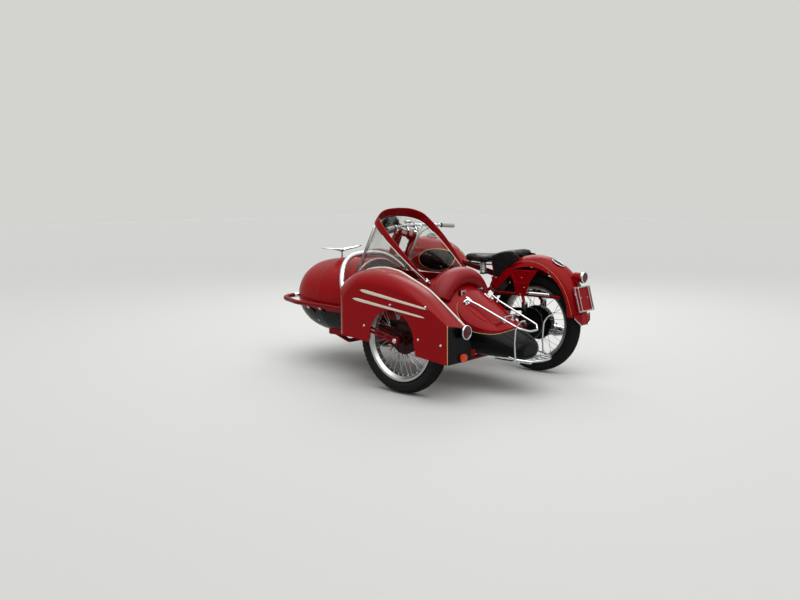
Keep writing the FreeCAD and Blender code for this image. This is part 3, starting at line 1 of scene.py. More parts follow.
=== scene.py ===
"""Sidecar motorcycle of the 1950s, dressed as it is put together: wheels, frame, engine, bodywork, sidecar.

Places are given in millimetres from the ground below the rear axle: x ahead, y to the sidecar's side, z up.
"""
import bpy
import bmesh
from math import acos, atan2, copysign, cos, dist, hypot, pi, radians, sin, sqrt
from mathutils import Matrix, Vector
from mathutils.bvhtree import BVHTree


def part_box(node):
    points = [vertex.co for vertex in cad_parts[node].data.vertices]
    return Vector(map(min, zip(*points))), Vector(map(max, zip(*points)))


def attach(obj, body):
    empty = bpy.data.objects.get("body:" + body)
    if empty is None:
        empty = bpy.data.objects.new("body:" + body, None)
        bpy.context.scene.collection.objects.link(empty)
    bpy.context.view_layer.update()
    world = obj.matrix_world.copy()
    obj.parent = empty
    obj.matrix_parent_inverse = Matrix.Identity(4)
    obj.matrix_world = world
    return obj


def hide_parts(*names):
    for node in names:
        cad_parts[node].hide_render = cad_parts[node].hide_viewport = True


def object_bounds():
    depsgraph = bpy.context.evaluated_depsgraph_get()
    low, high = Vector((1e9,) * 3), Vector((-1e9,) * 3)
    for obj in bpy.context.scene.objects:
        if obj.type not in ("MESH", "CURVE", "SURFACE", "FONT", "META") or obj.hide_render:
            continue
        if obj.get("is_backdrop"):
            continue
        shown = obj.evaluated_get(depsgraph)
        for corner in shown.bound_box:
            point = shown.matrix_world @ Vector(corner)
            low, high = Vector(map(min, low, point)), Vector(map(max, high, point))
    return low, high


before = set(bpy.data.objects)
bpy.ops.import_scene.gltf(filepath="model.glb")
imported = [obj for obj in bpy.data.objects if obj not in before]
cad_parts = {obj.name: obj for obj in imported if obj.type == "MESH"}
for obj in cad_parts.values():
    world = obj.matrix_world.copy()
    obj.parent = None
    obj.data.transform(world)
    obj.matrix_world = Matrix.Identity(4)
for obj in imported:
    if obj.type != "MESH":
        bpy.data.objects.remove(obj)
cad_box = [list(corner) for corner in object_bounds()]
axle_low, axle_high = (Vector(corner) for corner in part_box("rear_axle"))
GROUND_BELOW_AXLE = ((axle_low + axle_high) / 2) * Vector((1, 1, 0))
SIDES = (1, -1)
HANDS = ((1, "left"), (-1, "right"))
UP = (0, 0, 1)


def at(x, y, z):
    """A place in the machine's own millimetres, as metres in the model's frame."""
    return GROUND_BELOW_AXLE + Vector((x, y, z)) / 1000


def linked(name, data):
    """A new object in the scene that shows this data."""
    obj = bpy.data.objects.new(name, data)
    bpy.context.scene.collection.objects.link(obj)
    return obj


# ---------------------------------------------------------------- camera and studio
# A pale seamless studio with broad soft light from above and both sides.  The camera stands behind the
# sidecar, a little above a standing person's waist, with a moderately wide lens.
CAMERA_PLACE = (-3076.9, 4735.1, 1227.3)
CAMERA_YAW, CAMERA_PITCH, CAMERA_ROLL = 0.7416, 0.1314, -0.00736
CAMERA_LENS, CAMERA_SENSOR = 37.18, 36.0

camera = linked("camera", bpy.data.cameras.new("camera"))
camera.data.lens = CAMERA_LENS
camera.data.sensor_width = CAMERA_SENSOR
forward = Vector((sin(CAMERA_YAW) * cos(CAMERA_PITCH), -cos(CAMERA_YAW) * cos(CAMERA_PITCH), -sin(CAMERA_PITCH)))
level_right = forward.cross(Vector(UP)).normalized()
level_up = level_right.cross(forward)
right = level_right * cos(CAMERA_ROLL) + level_up * sin(CAMERA_ROLL)
up = level_up * cos(CAMERA_ROLL) - level_right * sin(CAMERA_ROLL)
camera.matrix_world = Matrix.Translation(at(*CAMERA_PLACE)) @ Matrix((right, up, -forward)).transposed().to_4x4()
bpy.context.scene.camera = camera
bpy.context.scene.view_settings.view_transform = "Standard"


def linear(hex_colour):
    """An sRGB hex colour as linear red, green, blue and full alpha."""
    values = [int(hex_colour[i:i + 2], 16) / 255 for i in (1, 3, 5)]
    return tuple(v / 12.92 if v <= 0.04045 else ((v + 0.055) / 1.055) ** 2.4 for v in values) + (1.0,)


def add(tree, kind, inputs=None, **settings):
    """Adds a node with its settings, its input values and its links from other nodes' outputs.

    A kind without Node in its name is a shader node, and a node as an input stands for its first output."""
    node = tree.nodes.new(kind if "Node" in kind else "ShaderNode" + kind)
    for name, value in settings.items():
        setattr(node, name, value)
    for key, value in (inputs or {}).items():
        value = value.outputs[0] if isinstance(value, bpy.types.Node) else value
        if isinstance(value, bpy.types.NodeSocket):
            tree.links.new(value, node.inputs[key])
        else:
            node.inputs[key].default_value = value
    return node


BACKDROP_GREY, FLOOR_GREY = "#D3D4CF", "#D1D2D0"
FILL, CEILING, SUN = 0.42, 3.0, 1.8
CEILING_RISE = (0.3, 0.85)      # how steeply a direction points up where the ceiling begins and is brightest
SUN_SPREAD, SUN_WAY = 70, (0.32, -0.28, -1.0)
# name, place, what it is aimed at, side in metres and watts
LAMPS = (("overhead_strip", (200, 900, 3600), (400, 500, 300), 2.6, 16.0),
         ("rear_strip", (-3600, 2600, 2600), (200, 500, 500), 1.6, 7.0),
         ("far_strip", (2600, -2600, 3900), (300, 600, 500), 3.0, 70.0))
FLOOR_HALF, FLOOR_DROP = 30, -0.002

world = bpy.data.worlds.new("studio")
bpy.context.scene.world = world
world.use_nodes = True
tree = world.node_tree
tree.nodes.clear()
path = add(tree, "LightPath")
seen = path.outputs["Is Camera Ray"]
for ray in ("Is Glossy Ray", "Is Transmission Ray"):
    seen = add(tree, "Math", {0: seen, 1: path.outputs[ray]}, operation="MAXIMUM")
soft_fill = add(tree, "Background", {"Color": (1.0, 1.0, 1.0, 1.0), "Strength": FILL})
# the walls are even, and the lit ceiling grows brighter overhead
heading = add(tree, "TexCoord")
parts = add(tree, "SeparateXYZ", {0: heading.outputs["Generated"]})
ceiling = add(tree, "MapRange", {0: parts.outputs[2], 1: CEILING_RISE[0], 2: CEILING_RISE[1], 3: 1.0,
                                           4: CEILING})
backdrop = add(tree, "Background", {"Color": linear(BACKDROP_GREY), "Strength": ceiling})
mixed = add(tree, "MixShader", {0: seen, 1: soft_fill, 2: backdrop})
add(tree, "OutputWorld", {0: mixed})

sun = linked("roof_light", bpy.data.lights.new("roof_light", "SUN"))
sun.data.energy = SUN
sun.data.angle = radians(SUN_SPREAD)
sun.rotation_mode = "QUATERNION"
sun.rotation_quaternion = Vector(SUN_WAY).to_track_quat("-Z", "Y")
for name, place, aim, size, watts in LAMPS:
    lamp = linked(name, bpy.data.lights.new(name, "AREA"))
    lamp.data.shape = "SQUARE"
    lamp.data.size = size
    lamp.data.energy = watts
    lamp.location = at(*place)
    lamp.visible_camera = False
    lamp.rotation_mode = "QUATERNION"
    lamp.rotation_quaternion = (at(*aim) - at(*place)).to_track_quat("-Z", "Y")

floor_mesh = bpy.data.meshes.new("studio_floor")
floor_mesh.from_pydata([(x * FLOOR_HALF, y * FLOOR_HALF, FLOOR_DROP) for x, y in ((-1, -1), (1, -1), (1, 1), (-1, 1))],
                       [], [(0, 1, 2, 3)])
floor_paint = bpy.data.materials.new("floor_paint")
floor_paint.use_nodes = True
tree = floor_paint.node_tree
tree.nodes.clear()
sheen = add(tree, "BsdfPrincipled", {"Base Color": linear(FLOOR_GREY), "Roughness": 0.6,
                                              "Specular IOR Level": 0.05})
add(tree, "OutputMaterial", {0: sheen})
floor_mesh.materials.append(floor_paint)
linked("studio_floor", floor_mesh)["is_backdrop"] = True


# ---------------------------------------------------------------- finishes and shapes
# Every finish drifts between two shades along a pattern of its own size.  Every added piece is a set of
# skinned rings: turned, swept, laid on a panel or cut from sheet, as the real trim and fixings are made.
SLOTS = {}


def material(name, slot=None):
    """An empty node material, its tree and the piece's own coordinates; the slot is kept under its name."""
    made = bpy.data.materials.new(name)
    made.use_nodes = True
    made.node_tree.nodes.clear()
    SLOTS[name] = slot
    return made, made.node_tree, add(made.node_tree, "TexCoord").outputs["Object"]


def shaded(made, pattern, dark, light, rough, layers=(), **inputs):
    """Two shades along a pattern under layers of other colours, each shown where its mask is 1.

    rough gives the pattern's values from and to, and the roughness that goes with each."""
    tree = made.node_tree
    colour = add(tree, "Mix", {0: pattern, 6: dark, 7: light}, data_type="RGBA")
    for mask, cover in layers:
        colour = add(tree, "Mix", {0: mask, 6: colour.outputs[2], 7: cover}, data_type="RGBA")
    dull = add(tree, "MapRange", {0: pattern, **dict(enumerate(rough, 1))})
    sockets = {key.replace("_", " "): value for key, value in inputs.items()}
    shader = add(tree, "BsdfPrincipled", {"Base Color": colour.outputs[2], "Roughness": dull,
                                                    **sockets})
    add(tree, "OutputMaterial", {0: shader})
    return made


def surface(name, slot, colour, roughness, shade=0.12, patch=60.0, grain=0.0, grain_size=1.0, wear=0.06, **inputs):
    """A finish whose colour and roughness drift over patches, with a fine grain in its height.

    patch and grain_size are in millimetres, grain is the height of the relief in millimetres."""
    made, tree, place = material(name, slot)
    drift = add(tree, "TexNoise", {"Vector": place, "Scale": 1000 / patch, "Detail": 4.0})
    dark, light = (tuple(min(1.0, c * share) for c in linear(colour)[:3]) + (1.0,)
                   for share in (1 - shade, 1 + shade * 0.6))
    if grain:
        fine = add(tree, "TexNoise", {"Vector": place, "Scale": 1000 / grain_size, "Detail": 2.0})
        inputs["Normal"] = add(tree, "Bump", {"Height": fine, "Distance": grain / 1000,
                                                        "Strength": 1.0})
    return shaded(made, drift, dark, light,
                  (0.3, 0.7, max(0.02, roughness - wear), roughness + wear), **inputs)


def paint(finish, *nodes):
    """CAD nodes keep their shapes and take this material."""
    for node in nodes:
        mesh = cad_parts[node].data
        if not mesh.materials:
            mesh.materials.append(finish)
        for index in range(len(mesh.materials)):
            mesh.materials[index] = finish


def turns(count):
    """The angles of a full turn in equal steps."""
    return [2 * pi * i / count for i in range(count)]


def spindle(places, radii, sides):
    """A straight closed bar through places in line, with its own radius at each."""
    run = (places[-1] - places[0]).normalized()
    across = run.orthogonal().normalized()
    other = run.cross(across)
    return [[place + (across * cos(a) + other * sin(a)) * radius for a in turns(sides)]
            for place, radius in zip(places, radii)], False


def rod(start, end, radius, sides=8, tip=None):
    """A straight closed bar between two places, with its own radius at the tip if one is given."""
    return spindle([Vector(start), Vector(end)], (radius, radius if tip is None else tip), sides)


def stub(foot, run, radius, sides=8, tip=None):
    """A straight closed bar that runs so far from its foot."""
    return rod(foot, Vector(foot) + Vector(run), radius, sides, tip)


def rods(places, radius, sides):
    """Straight bars from each place to the next."""
    return [rod(here, after, radius, sides) for here, after in zip(places, places[1:])]


def studs(places, outward, radius=7.0, head=5.0, washer=1.5):
    """Hexagon bolt heads on washers, all facing one way, their feet 1.5 mm below the surface."""
    out = Vector(outward).normalized()
    return [stub(Vector(place) - out * 1.5, out * (1.5 + washer + high), width, sides)
            for place in places for high, width, sides in ((0, radius * 1.45, 14), (head, radius, 6))]


def lathe(profile, centre, axis="Y", steps=96, closed=False):
    """Turns (radius, along) points about an axis through a place, capped at both ends, or as a ring."""
    order = {"Y": lambda c, s, along: (c, along, -s), "X": lambda c, s, along: (along, c, s),
             "Z": lambda c, s, along: (c, s, along)}[axis]
    return [[Vector(centre) + Vector(order(radius * cos(a), radius * sin(a), along)) for a in turns(steps)]
            for radius, along in profile], closed


def headings(places, close=False):
    """The unit direction of a line at each of its places."""
    last = len(places) - 1
    return [((places[(i + 1) % (last + 1)] - places[i - 1]) if close
             else (places[min(i + 1, last)] - places[max(i - 1, 0)])).normalized() for i in range(last + 1)]


def strip(spots, half, rise, sink=1.5, close=False):
    """A raised trim strip with a rounded back, along (place, way out) pairs on a surface."""
    rings = []
    for (spot, out), along in zip(spots, headings([spot for spot, _ in spots], close)):
        across = out.cross(along).normalized()
        up = along.cross(across).normalized()
        rings.append([spot + across * half * a + up * (rise * b if b else -sink) for a, b in
                      ((-1, 0), (-1, 0.35), (-0.62, 0.85), (0, 1), (0.62, 0.85), (1, 0.35), (1, 0))])
    return rings, close


def sweep(places, radius, sides=8, sideways=None):
    """A round bead along places, closed at both ends."""
    rings = []
    for spot, along in zip(places, headings(places)):
        side = (sideways(spot) if sideways else along.cross(Vector((0.21, 0.08, 0.97)))).normalized()
        other = side.cross(along)
        rings.append([spot + (side * cos(a) + other * sin(a)) * radius for a in turns(sides)])
    return rings, False


def sheet(outline, thick):
    """A flat sheet of the given thickness: a closed outline of places, thickened behind it."""
    face = [Vector(p) for p in outline]
    behind = (face[1] - face[0]).cross(face[2] - face[1]).normalized() * thick
    return [face, [p - behind for p in face]], False


def drawn(points, steps, close=False):
    """Straight runs between points, each cut into a number of steps, without the last point."""
    points = [Vector(p) for p in points]
    return [a.lerp(b, i / steps) for a, b in zip(points, points[1:] + points[:1] * close) for i in range(steps)]


def smooth_line(points, steps=8):
    """A Catmull-Rom line through places, with a number of steps between each two."""
    points = [Vector(p) for p in points]
    padded = [points[0] * 2 - points[1]] + points + [points[-1] * 2 - points[-2]]
    return [0.5 * (2 * b + (c - a) * t + (2 * a - 5 * b + 4 * c - d) * t ** 2 + (3 * b - a - 3 * c + d) * t ** 3)
            for a, b, c, d in zip(padded, padded[1:], padded[2:], padded[3:])
            for t in (step / steps for step in range(steps))] + [points[-1]]


def skin(node):
    """A node's surface, to lay trim on."""
    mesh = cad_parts[node].data
    return BVHTree.FromPolygons([v.co for v in mesh.vertices], [p.vertices for p in mesh.polygons])


def laid(surface_tree, start, heading):
    """Where a line from a place first meets a surface, and the way out of it there."""
    heading = Vector(heading).normalized()
    spot, way_out, _, _ = surface_tree.ray_cast(at(*start), heading)
    if way_out.dot(heading) > 0:
        way_out = -way_out
    return (spot - GROUND_BELOW_AXLE) * 1000, way_out


def singly(shapes):
    """The shapes out of nested lists of them: each is its rings, and whether the last joins the first."""
    for shape in [shapes] if isinstance(shapes, tuple) else shapes:
        if isinstance(shape, tuple):
            yield shape
        else:
            yield from singly(shape)


def mesh_of(name, shapes, place=at):
    """Skins shapes from ring to ring, as one mesh that faces outward."""
    bm = bmesh.new()
    for rings, closed in singly(shapes):
        rows = [[bm.verts.new(place(*spot)) for spot in ring] for ring in rings]
        for here, after in zip(rows, rows[1:] + rows[:1] * closed):
            for i in range(len(here)):
                j = (i + 1) % len(here)
                bm.faces.new((here[i], here[j], after[j], after[i]))
        if not closed:
            bm.faces.new(rows[0])
            bm.faces.new(reversed(rows[-1]))
    bmesh.ops.remove_doubles(bm, verts=bm.verts, dist=1e-6)
    bmesh.ops.recalc_face_normals(bm, faces=bm.faces)
    mesh = bpy.data.meshes.new(name)
    bm.to_mesh(mesh)
    bm.free()
    return mesh


def dress(name, mesh, finish, smooth=True, body="outfit", slot=None, replaced=(), bevel=0.0):
    """An object of a mesh with its material and body; its slot is looked up but not given to it."""
    mesh.materials.clear()
    mesh.materials.append(finish)
    obj = linked(name, mesh)
    for polygon in mesh.polygons:
        polygon.use_smooth = smooth
    if bevel:
        rounding = obj.modifiers.new("rounding", "BEVEL")
        rounding.width = bevel / 1000
        rounding.segments = 2
        rounding.limit_method = "ANGLE"
    if replaced:
        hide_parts(*replaced)
    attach(obj, body)
    slot or SLOTS[finish.name]
    return obj


def piece(name, finish, shapes, smooth=True, **settings):
    """Shapes as a finished piece."""
    return dress(name, mesh_of(name, shapes), finish, smooth, **settings)


def evaluated_mesh(obj):
    """What an object's modifiers make, as a plain mesh; the object itself goes."""
    scene_state = bpy.context.evaluated_depsgraph_get()
    mesh = bpy.data.meshes.new_from_object(obj.evaluated_get(scene_state), preserve_all_data_layers=True,
                                           depsgraph=scene_state).copy()
    bpy.data.objects.remove(obj)
    return mesh


def ring_tree(name):
    """Geometry nodes: turns a small mesh round the Y axis through a centre, a number of times."""
    tree = bpy.data.node_groups.new(name, "GeometryNodeTree")
    for label, way, kind in (("Part", "INPUT", "Geometry"), ("Count", "INPUT", "Int"), ("Centre", "INPUT", "Vector"),
                             ("Finish", "INPUT", "Material"), ("Ring", "OUTPUT", "Geometry")):
        tree.interface.new_socket(label, in_out=way, socket_type="NodeSocket" + kind)
    given = add(tree, "NodeGroupInput")
    line = add(tree, "GeometryNodeMeshLine", {"Count": given.outputs["Count"], "Offset": (0.0, 0.0, 0.0)},
               mode="OFFSET")
    moved = add(tree, "GeometryNodeSetPosition", {0: line, "Offset": given.outputs["Centre"]})
    number = add(tree, "GeometryNodeInputIndex")
    share = add(tree, "Math", {0: number, 1: given.outputs["Count"]}, operation="DIVIDE")
    angle = add(tree, "Math", {0: share, 1: 2 * pi}, operation="MULTIPLY")
    turn = add(tree, "CombineXYZ", {"Y": angle})
    spun = add(tree, "GeometryNodeInstanceOnPoints", {"Points": moved, "Instance": given.outputs["Part"],
                                                      "Rotation": turn})
    real = add(tree, "GeometryNodeRealizeInstances", {0: spun})
    finish = add(tree, "GeometryNodeSetMaterial", {0: real, "Material": given.outputs["Finish"]})
    add(tree, "NodeGroupOutput", {0: finish})
    return tree


RINGS = ring_tree("ring_of_parts")


def ringed(name, finish, shapes, count, centre, smooth=False, body="outfit"):
    """A small part made about the origin in millimetres, repeated round an axis along Y."""
    seed = linked(name + "_one", mesh_of(name + "_one", shapes, lambda *spot: Vector(spot) / 1000))
    grower = seed.modifiers.new("grower", "NODES")
    grower.node_group = RINGS
    values = {"Count": count, "Centre": at(*centre), "Finish": finish}
    for item in RINGS.interface.items_tree:
        if item.name in values:
            grower[item.identifier] = values[item.name]
    return dress(name, evaluated_mesh(seed), finish, smooth, body)


# ---------------------------------------------------------------- control cables
# Bowden cables: steel wire in a black ribbed rubber-covered outer, 6 mm across.  They hang from the
# lever perches, bend round the front of the bar and run down behind the lamp to the lower yoke.
CABLE_BORE = 6.0
ROUNDED_BENDS = 0.99      # the drawn curve's length as a share of the line through its points
CABLES = {
    "left_cable": [(1094, 240, 957), (1090, 203, 953), (1088, 158, 944), (1091, 112, 930), (1100, 73, 908),
                   (1113, 52, 868), (1135, 47, 818), (1162, 49, 768), (1190.8, 48, 719.8)],
    "right_cable": [(1094, -240, 957), (1092, -206, 955), (1087, -162, 947), (1089, -118, 934), (1099, -78, 913),
                    (1114, -53, 872), (1137, -46, 820), (1163, -48, 769), (1190.8, -48, 719.8)],
}
# Moulded rubber cover: dull black, slightly dusty on top.
cable_rubber = surface("moulded_black_rubber", "black_rubber", "#111112", 0.5, grain=0.15, grain_size=3.0,
                       Specular_IOR_Level=0.15)
for name, route in CABLES.items():
    curve = bpy.data.curves.new(name + "_run", "CURVE")
    curve.dimensions = "3D"
    curve.bevel_depth = CABLE_BORE / 2000
    curve.bevel_resolution = 4
    curve.use_fill_caps = True
    spline = curve.splines.new("NURBS")
    spline.points.add(len(route) - 1)
    for point, place in zip(spline.points, route):
        point.co = (*at(*place), 1.0)
    spline.order_u = 3
    spline.use_endpoint_u = True
    spline.resolution_u = 12
    curve.materials.append(cable_rubber)
    cable = linked(name + "_run", curve)
    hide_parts(name)
    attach(cable, "steering")
    length = sum(dist(here, after) for here, after in zip(route, route[1:])) / 1000 * ROUNDED_BENDS
    at(*route[0])


# ---------------------------------------------------------------- tyres
# 3.50-19 cross-ply tyres of black rubber: smooth bulging walls with two moulded ribs, and a tread of
# staggered blocks with deeper lugs on the shoulders.
TYRE_PROFILE = [(245, 25.6), (256, 25.6), (262, 31.5), (270, 40.5), (282, 44.8), (296.5, 46.0), (305, 44.8),
                (306.5, 45.6), (308, 44.2), (314, 40.0), (319, 34.0), (323, 25.0), (326, 13.0), (327, 0.0)]
CROWN_FROM_R = 300
WHEELS = {"front": (1460, 0, 332), "rear": (0, 0, 332), "sidecar": (257, 1070, 332)}
TREAD_PITCHES = 64
LUG_TOP, LUG_RISE, LUG_SINK, LUG_TAPER = 331.6, 4.2, 2.5, 0.7
# middle across, half width, start and end as shares of the pitch, and skew
LUGS = ((0, 5.0, 0.02, 0.86, 0.0), (13.5, 5.2, 0.1, 0.72, 0.18), (-13.5, 5.2, 0.6, 1.22, -0.18),
        (26.5, 5.0, 0.42, 1.02, 0.12), (-26.5, 5.0, 0.08, 0.68, -0.12), (37.5, 4.6, 0.1, 0.62, 0.0),
        (-37.5, 4.6, 0.55, 1.07, 0.0))
# Tread and wall rubber: near black with a trace of grey, matt, finely pitted.
tyre_rubber = surface("cross_ply_tyre_rubber", "tyre", "#121212", 0.66, shade=0.2, patch=25.0, grain=0.25,
                      grain_size=2.5, Specular_IOR_Level=0.12)


def crown_radius(y):
    """The tyre's radius at a distance from its middle plane."""
    points = sorted((along, radius) for radius, along in TYRE_PROFILE if radius > CROWN_FROM_R)
    for (y0, r0), (y1, r1) in zip(points, points[1:]):
        if y0 <= abs(y) <= y1:
            return r0 + (r1 - r0) * (abs(y) - y0) / (y1 - y0)
    return points[-1][1]


pitch = 2 * pi * LUG_TOP / TREAD_PITCHES
lugs = []
for y, half, start, end, skew in LUGS:
    low = crown_radius(abs(y) + half) - LUG_SINK
    rings = []
    for across in (-1, 1):
        outer = across * copysign(1, y) > 0
        top = min(LUG_TOP, crown_radius(abs(y) + (half if outer else -half)) + LUG_RISE)
        ring = []
        for radius, share, inset in ((low, start, 0.0), (low, end, 0.0), (top, end, -LUG_TAPER),
                                     (top, start, LUG_TAPER)):
            angle = (pitch * (share + skew * across * 0.5) + inset) / LUG_TOP
            ring.append((radius * cos(angle), y + across * (half - abs(inset)), -radius * sin(angle)))
        rings.append(ring)
    lugs.append((rings, False))
for kind, centre in WHEELS.items():
    body = kind + "_wheel_body"
    piece(kind + "_tyre_casing", tyre_rubber,
          lathe(TYRE_PROFILE + [(r, -y) for r, y in reversed(TYRE_PROFILE[:-1])], centre, closed=True),
          body=body, replaced=(kind + "_tyre",))
    ringed(kind + "_tyre_tread", tyre_rubber, lugs, TREAD_PITCHES, centre, body=body)


# ---------------------------------------------------------------- wheels
# Rolled steel rims, bright butted spokes in threaded nipples, and cast hubs with full-width brake drums.
# The rims are matt silver lacquer, the spokes and nipples zinc plate, the hubs stoved enamel; the sidecar's hub is
# painted shade, darkened to a near-black red.
RIM_SEAT_R = 225.0
HUB_EDGE_R = 124.0
NIPPLES = 36
# the sidecar's hub colour is painted shade: a near-black red for the shadow behind its wheel, not its enamel
HUB_ENAMELS_AND_SIDECAR_SHADE = {"front": "#6E0A10", "rear": "#0E0E0F", "sidecar": "#2C080B"}


def wheel_finish(kind, centre):
    """Silver rim, plated spokes and hub on one laced wheel, by distance from its axle; the hub is enamel, and painted
    shade on the sidecar wheel.
    """
    made, tree, place = material(kind + "_rim_lacquer_spoke_plate_hub_enamel")
    middle = at(*centre)
    spot = add(tree, "VectorMath", {0: place, 1: (middle.x, 0.0, middle.z)}, operation="SUBTRACT")
    parts = add(tree, "SeparateXYZ", {0: spot})
    flat = add(tree, "CombineXYZ", {0: parts, 2: parts.outputs[2]})
    radius = add(tree, "VectorMath", {0: flat}, operation="LENGTH").outputs["Value"]
    hub = add(tree, "Math", {0: radius, 1: HUB_EDGE_R / 1000}, operation="LESS_THAN")
    rim = add(tree, "Math", {0: radius, 1: RIM_SEAT_R / 1000}, operation="GREATER_THAN")
    drift = add(tree, "TexNoise", {"Vector": place, "Scale": 30.0, "Detail": 4.0})
    lacquer = add(tree, "Mix", {0: drift, 6: linear("#9C9D9B"), 7: linear("#B8B9B6")},
                  data_type="RGBA")
    metal = add(tree, "Math", {0: 0.9, 1: hub}, operation="SUBTRACT", use_clamp=True)
    return shaded(made, drift, linear("#8E8F90"), linear("#C9CACA"), (0.0, 1.0, 0.22, 0.38),
                  ((rim, lacquer.outputs[2]), (hub, linear(HUB_ENAMELS_AND_SIDECAR_SHADE[kind]))), Metallic=metal,
                  Specular_IOR_Level=0.12)


# Zinc-plated brass: pale, a little dull.
nipple_plate = surface("zinc_plated_brass_nipple", "steel", "#B9BABB", 0.3, patch=4.0, Metallic=0.9)
for kind, centre in WHEELS.items():
    paint(wheel_finish(kind, centre), kind + "_wheel")
    ringed(kind + "_wheel_nipples", nipple_plate, rod((234.5, 0, 0), (218.0, 0, 0), 3.4, 8, 2.6), NIPPLES, centre,
           True, kind + "_wheel_body")


# ---------------------------------------------------------------- frame and rear springing
# A brazed cradle of steel tube in stoved red enamel, with plunger springing at the rear axle.  Pinch
# bolts, plunger caps and a tyre pump clipped along the left-hand bar are bright plated steel.
ENAMEL_RED = "#8B040C"
ENAMEL_BLACK = "#09090B"
LINING_GOLD = "#C9A866"
ENAMEL_SHEEN = 0.08
PLUNGER_X, PLUNGER_Y = 20, 115

# Stoving enamel: a deep even red with a soft gloss and the faint ripple of the spray gun.
red_enamel = surface("red_stoving_enamel", "red_paint", ENAMEL_RED, 0.24, shade=0.1, patch=180.0, wear=0.04,
                     grain=0.03, grain_size=6.0, Specular_IOR_Level=ENAMEL_SHEEN)
# The same enamel brushed on the frame tubes, duller where road dirt has been wiped off.
frame_enamel = surface("red_brushed_enamel", "red_paint", "#74050A", 0.32, shade=0.18, patch=70.0, wear=0.08,
                       grain=0.04, grain_size=5.0, Specular_IOR_Level=ENAMEL_SHEEN)
# Black stoving enamel: almost no colour of its own, all of its form is in the gloss.
black_enamel = surface("black_stoving_enamel", "black_paint", ENAMEL_BLACK, 0.2, shade=0.2, patch=120.0, wear=0.04,
                       grain=0.02, grain_size=6.0, Specular_IOR_Level=ENAMEL_SHEEN)
# Nickel-chromium plate: a grey mirror with the faintest polishing haze.
chrome = surface("bright_chromium_plate", "chrome", "#BEC1C4", 0.08, shade=0.05, patch=90.0, wear=0.03, Metallic=1.0)
# Bare bright steel, wiped with oil: greyer and softer than the plate.
steel = surface("oiled_bright_steel", "steel", "#8D8E90", 0.34, shade=0.2, patch=20.0, wear=0.08, grain=0.02,
                grain_size=1.5, Metallic=1.0)
paint(frame_enamel, "bike_frame", "fork", "sidecar_chassis", "swing_fork")
paint(steel, "rear_axle", "foot_controls", "saddle_springs")
piece("plunger_caps_and_bolts", chrome, [[
    [stub((PLUNGER_X, side * PLUNGER_Y, foot), (0, 0, tall), radius, 24)
     for foot, tall, radius in ((466, 14, 20.5), (207, 14, 20.5), (412, 4, 20.4))],
    studs([(PLUNGER_X, side * (PLUNGER_Y + 19), z) for z in (440, 246)], (0, side, 0), 5.0)] for side in SIDES], False)
piece("plunger_shrouds", black_enamel, [stub((PLUNGER_X, side * PLUNGER_Y, foot), (0, 0, tall), 21.2, 24)
                                        for side in SIDES for foot, tall in ((223, 85), (352, 116))])
piece("rear_axle_nuts", steel, [studs([(0, side * 136, 332)], (0, side, 0), 12.0, 11.0, 3.0) for side in SIDES], False)
# The pump's barrel: a ribbed bright tube with a turned end, held by two spring clips.
piece("tyre_pump", chrome, lathe(
    [(0.1, 0), (9, 0), (12, 4)]
    + [(r, 8 + 6.5 * i + o) for i in range(22) for r, o in ((12, 0), (12, 3), (10.6, 4), (10.6, 5.5))]
    + [(12, 153), (12, 160), (8, 166), (0.1, 166)], (-165, 99, 541), "X", 20))


# ---------------------------------------------------------------- engine, gearbox and carburettor
# A four-stroke single in unit with its gearbox: sand-cast alloy cases and head, a blackened iron barrel.
# Covers are held by cheese-head screws in a ring, and the head by a ring of plated nuts.
# Cast iron under stove black: dark grey, rough from the sand, with a dull metal glint.
paint(surface("blackened_cast_iron", None, "#2B2B2C", 0.6, shade=0.2, patch=30.0, wear=0.08, grain=0.15,
              grain_size=2.0, Metallic=0.4), "cylinder_barrel")
# Sand-cast aluminium: pale grey with a fine sand skin.
paint(surface("sand_cast_aluminium", None, "#9A9B9A", 0.45, shade=0.16, patch=35.0, wear=0.08, grain=0.12,
              grain_size=2.0, Metallic=0.85), "crankcase", "cylinder_head", "carburettor")
# Polished cover alloy: brighter, with a brushed haze.
cover_alloy = surface("polished_cover_aluminium", "alloy", "#B4B5B6", 0.24, shade=0.08, patch=40.0, wear=0.05,
                      Metallic=1.0)
# name, side, centre along and up, radius, joint face's distance from the middle and depth
COVERS = (("left_crank", 1, 690, 345, 106, 98, 22), ("right_crank", -1, 690, 345, 88, 98, 20),
          ("right_gear", -1, 478, 340, 54, 104, 16))
COVER_SCREWS = 12
for where, side, x, z, radius, y, depth in COVERS:
    profile = [(0.1, y + depth), (radius * 0.45, y + depth), (radius * 0.8, y + depth - 5),
               (radius * 0.93, y + depth - 12), (radius * 0.95, y + 6), (radius, y + 5), (radius, y - 4), (0.1, y - 4)]
    piece(where + "_cover", cover_alloy, lathe([(r, side * along) for r, along in profile], (x, 0, z), "Y", 64))
    ringed(where + "_cover_screws", steel,
           [stub((radius * 0.965, side * (y + low), 0), (0, side * tall, 0), width, sides)
            for low, tall, width, sides in ((4, 4.5, 3.2, 10), (8.5, 0.1, 1.2, 4))], COVER_SCREWS, (x, 0, z))
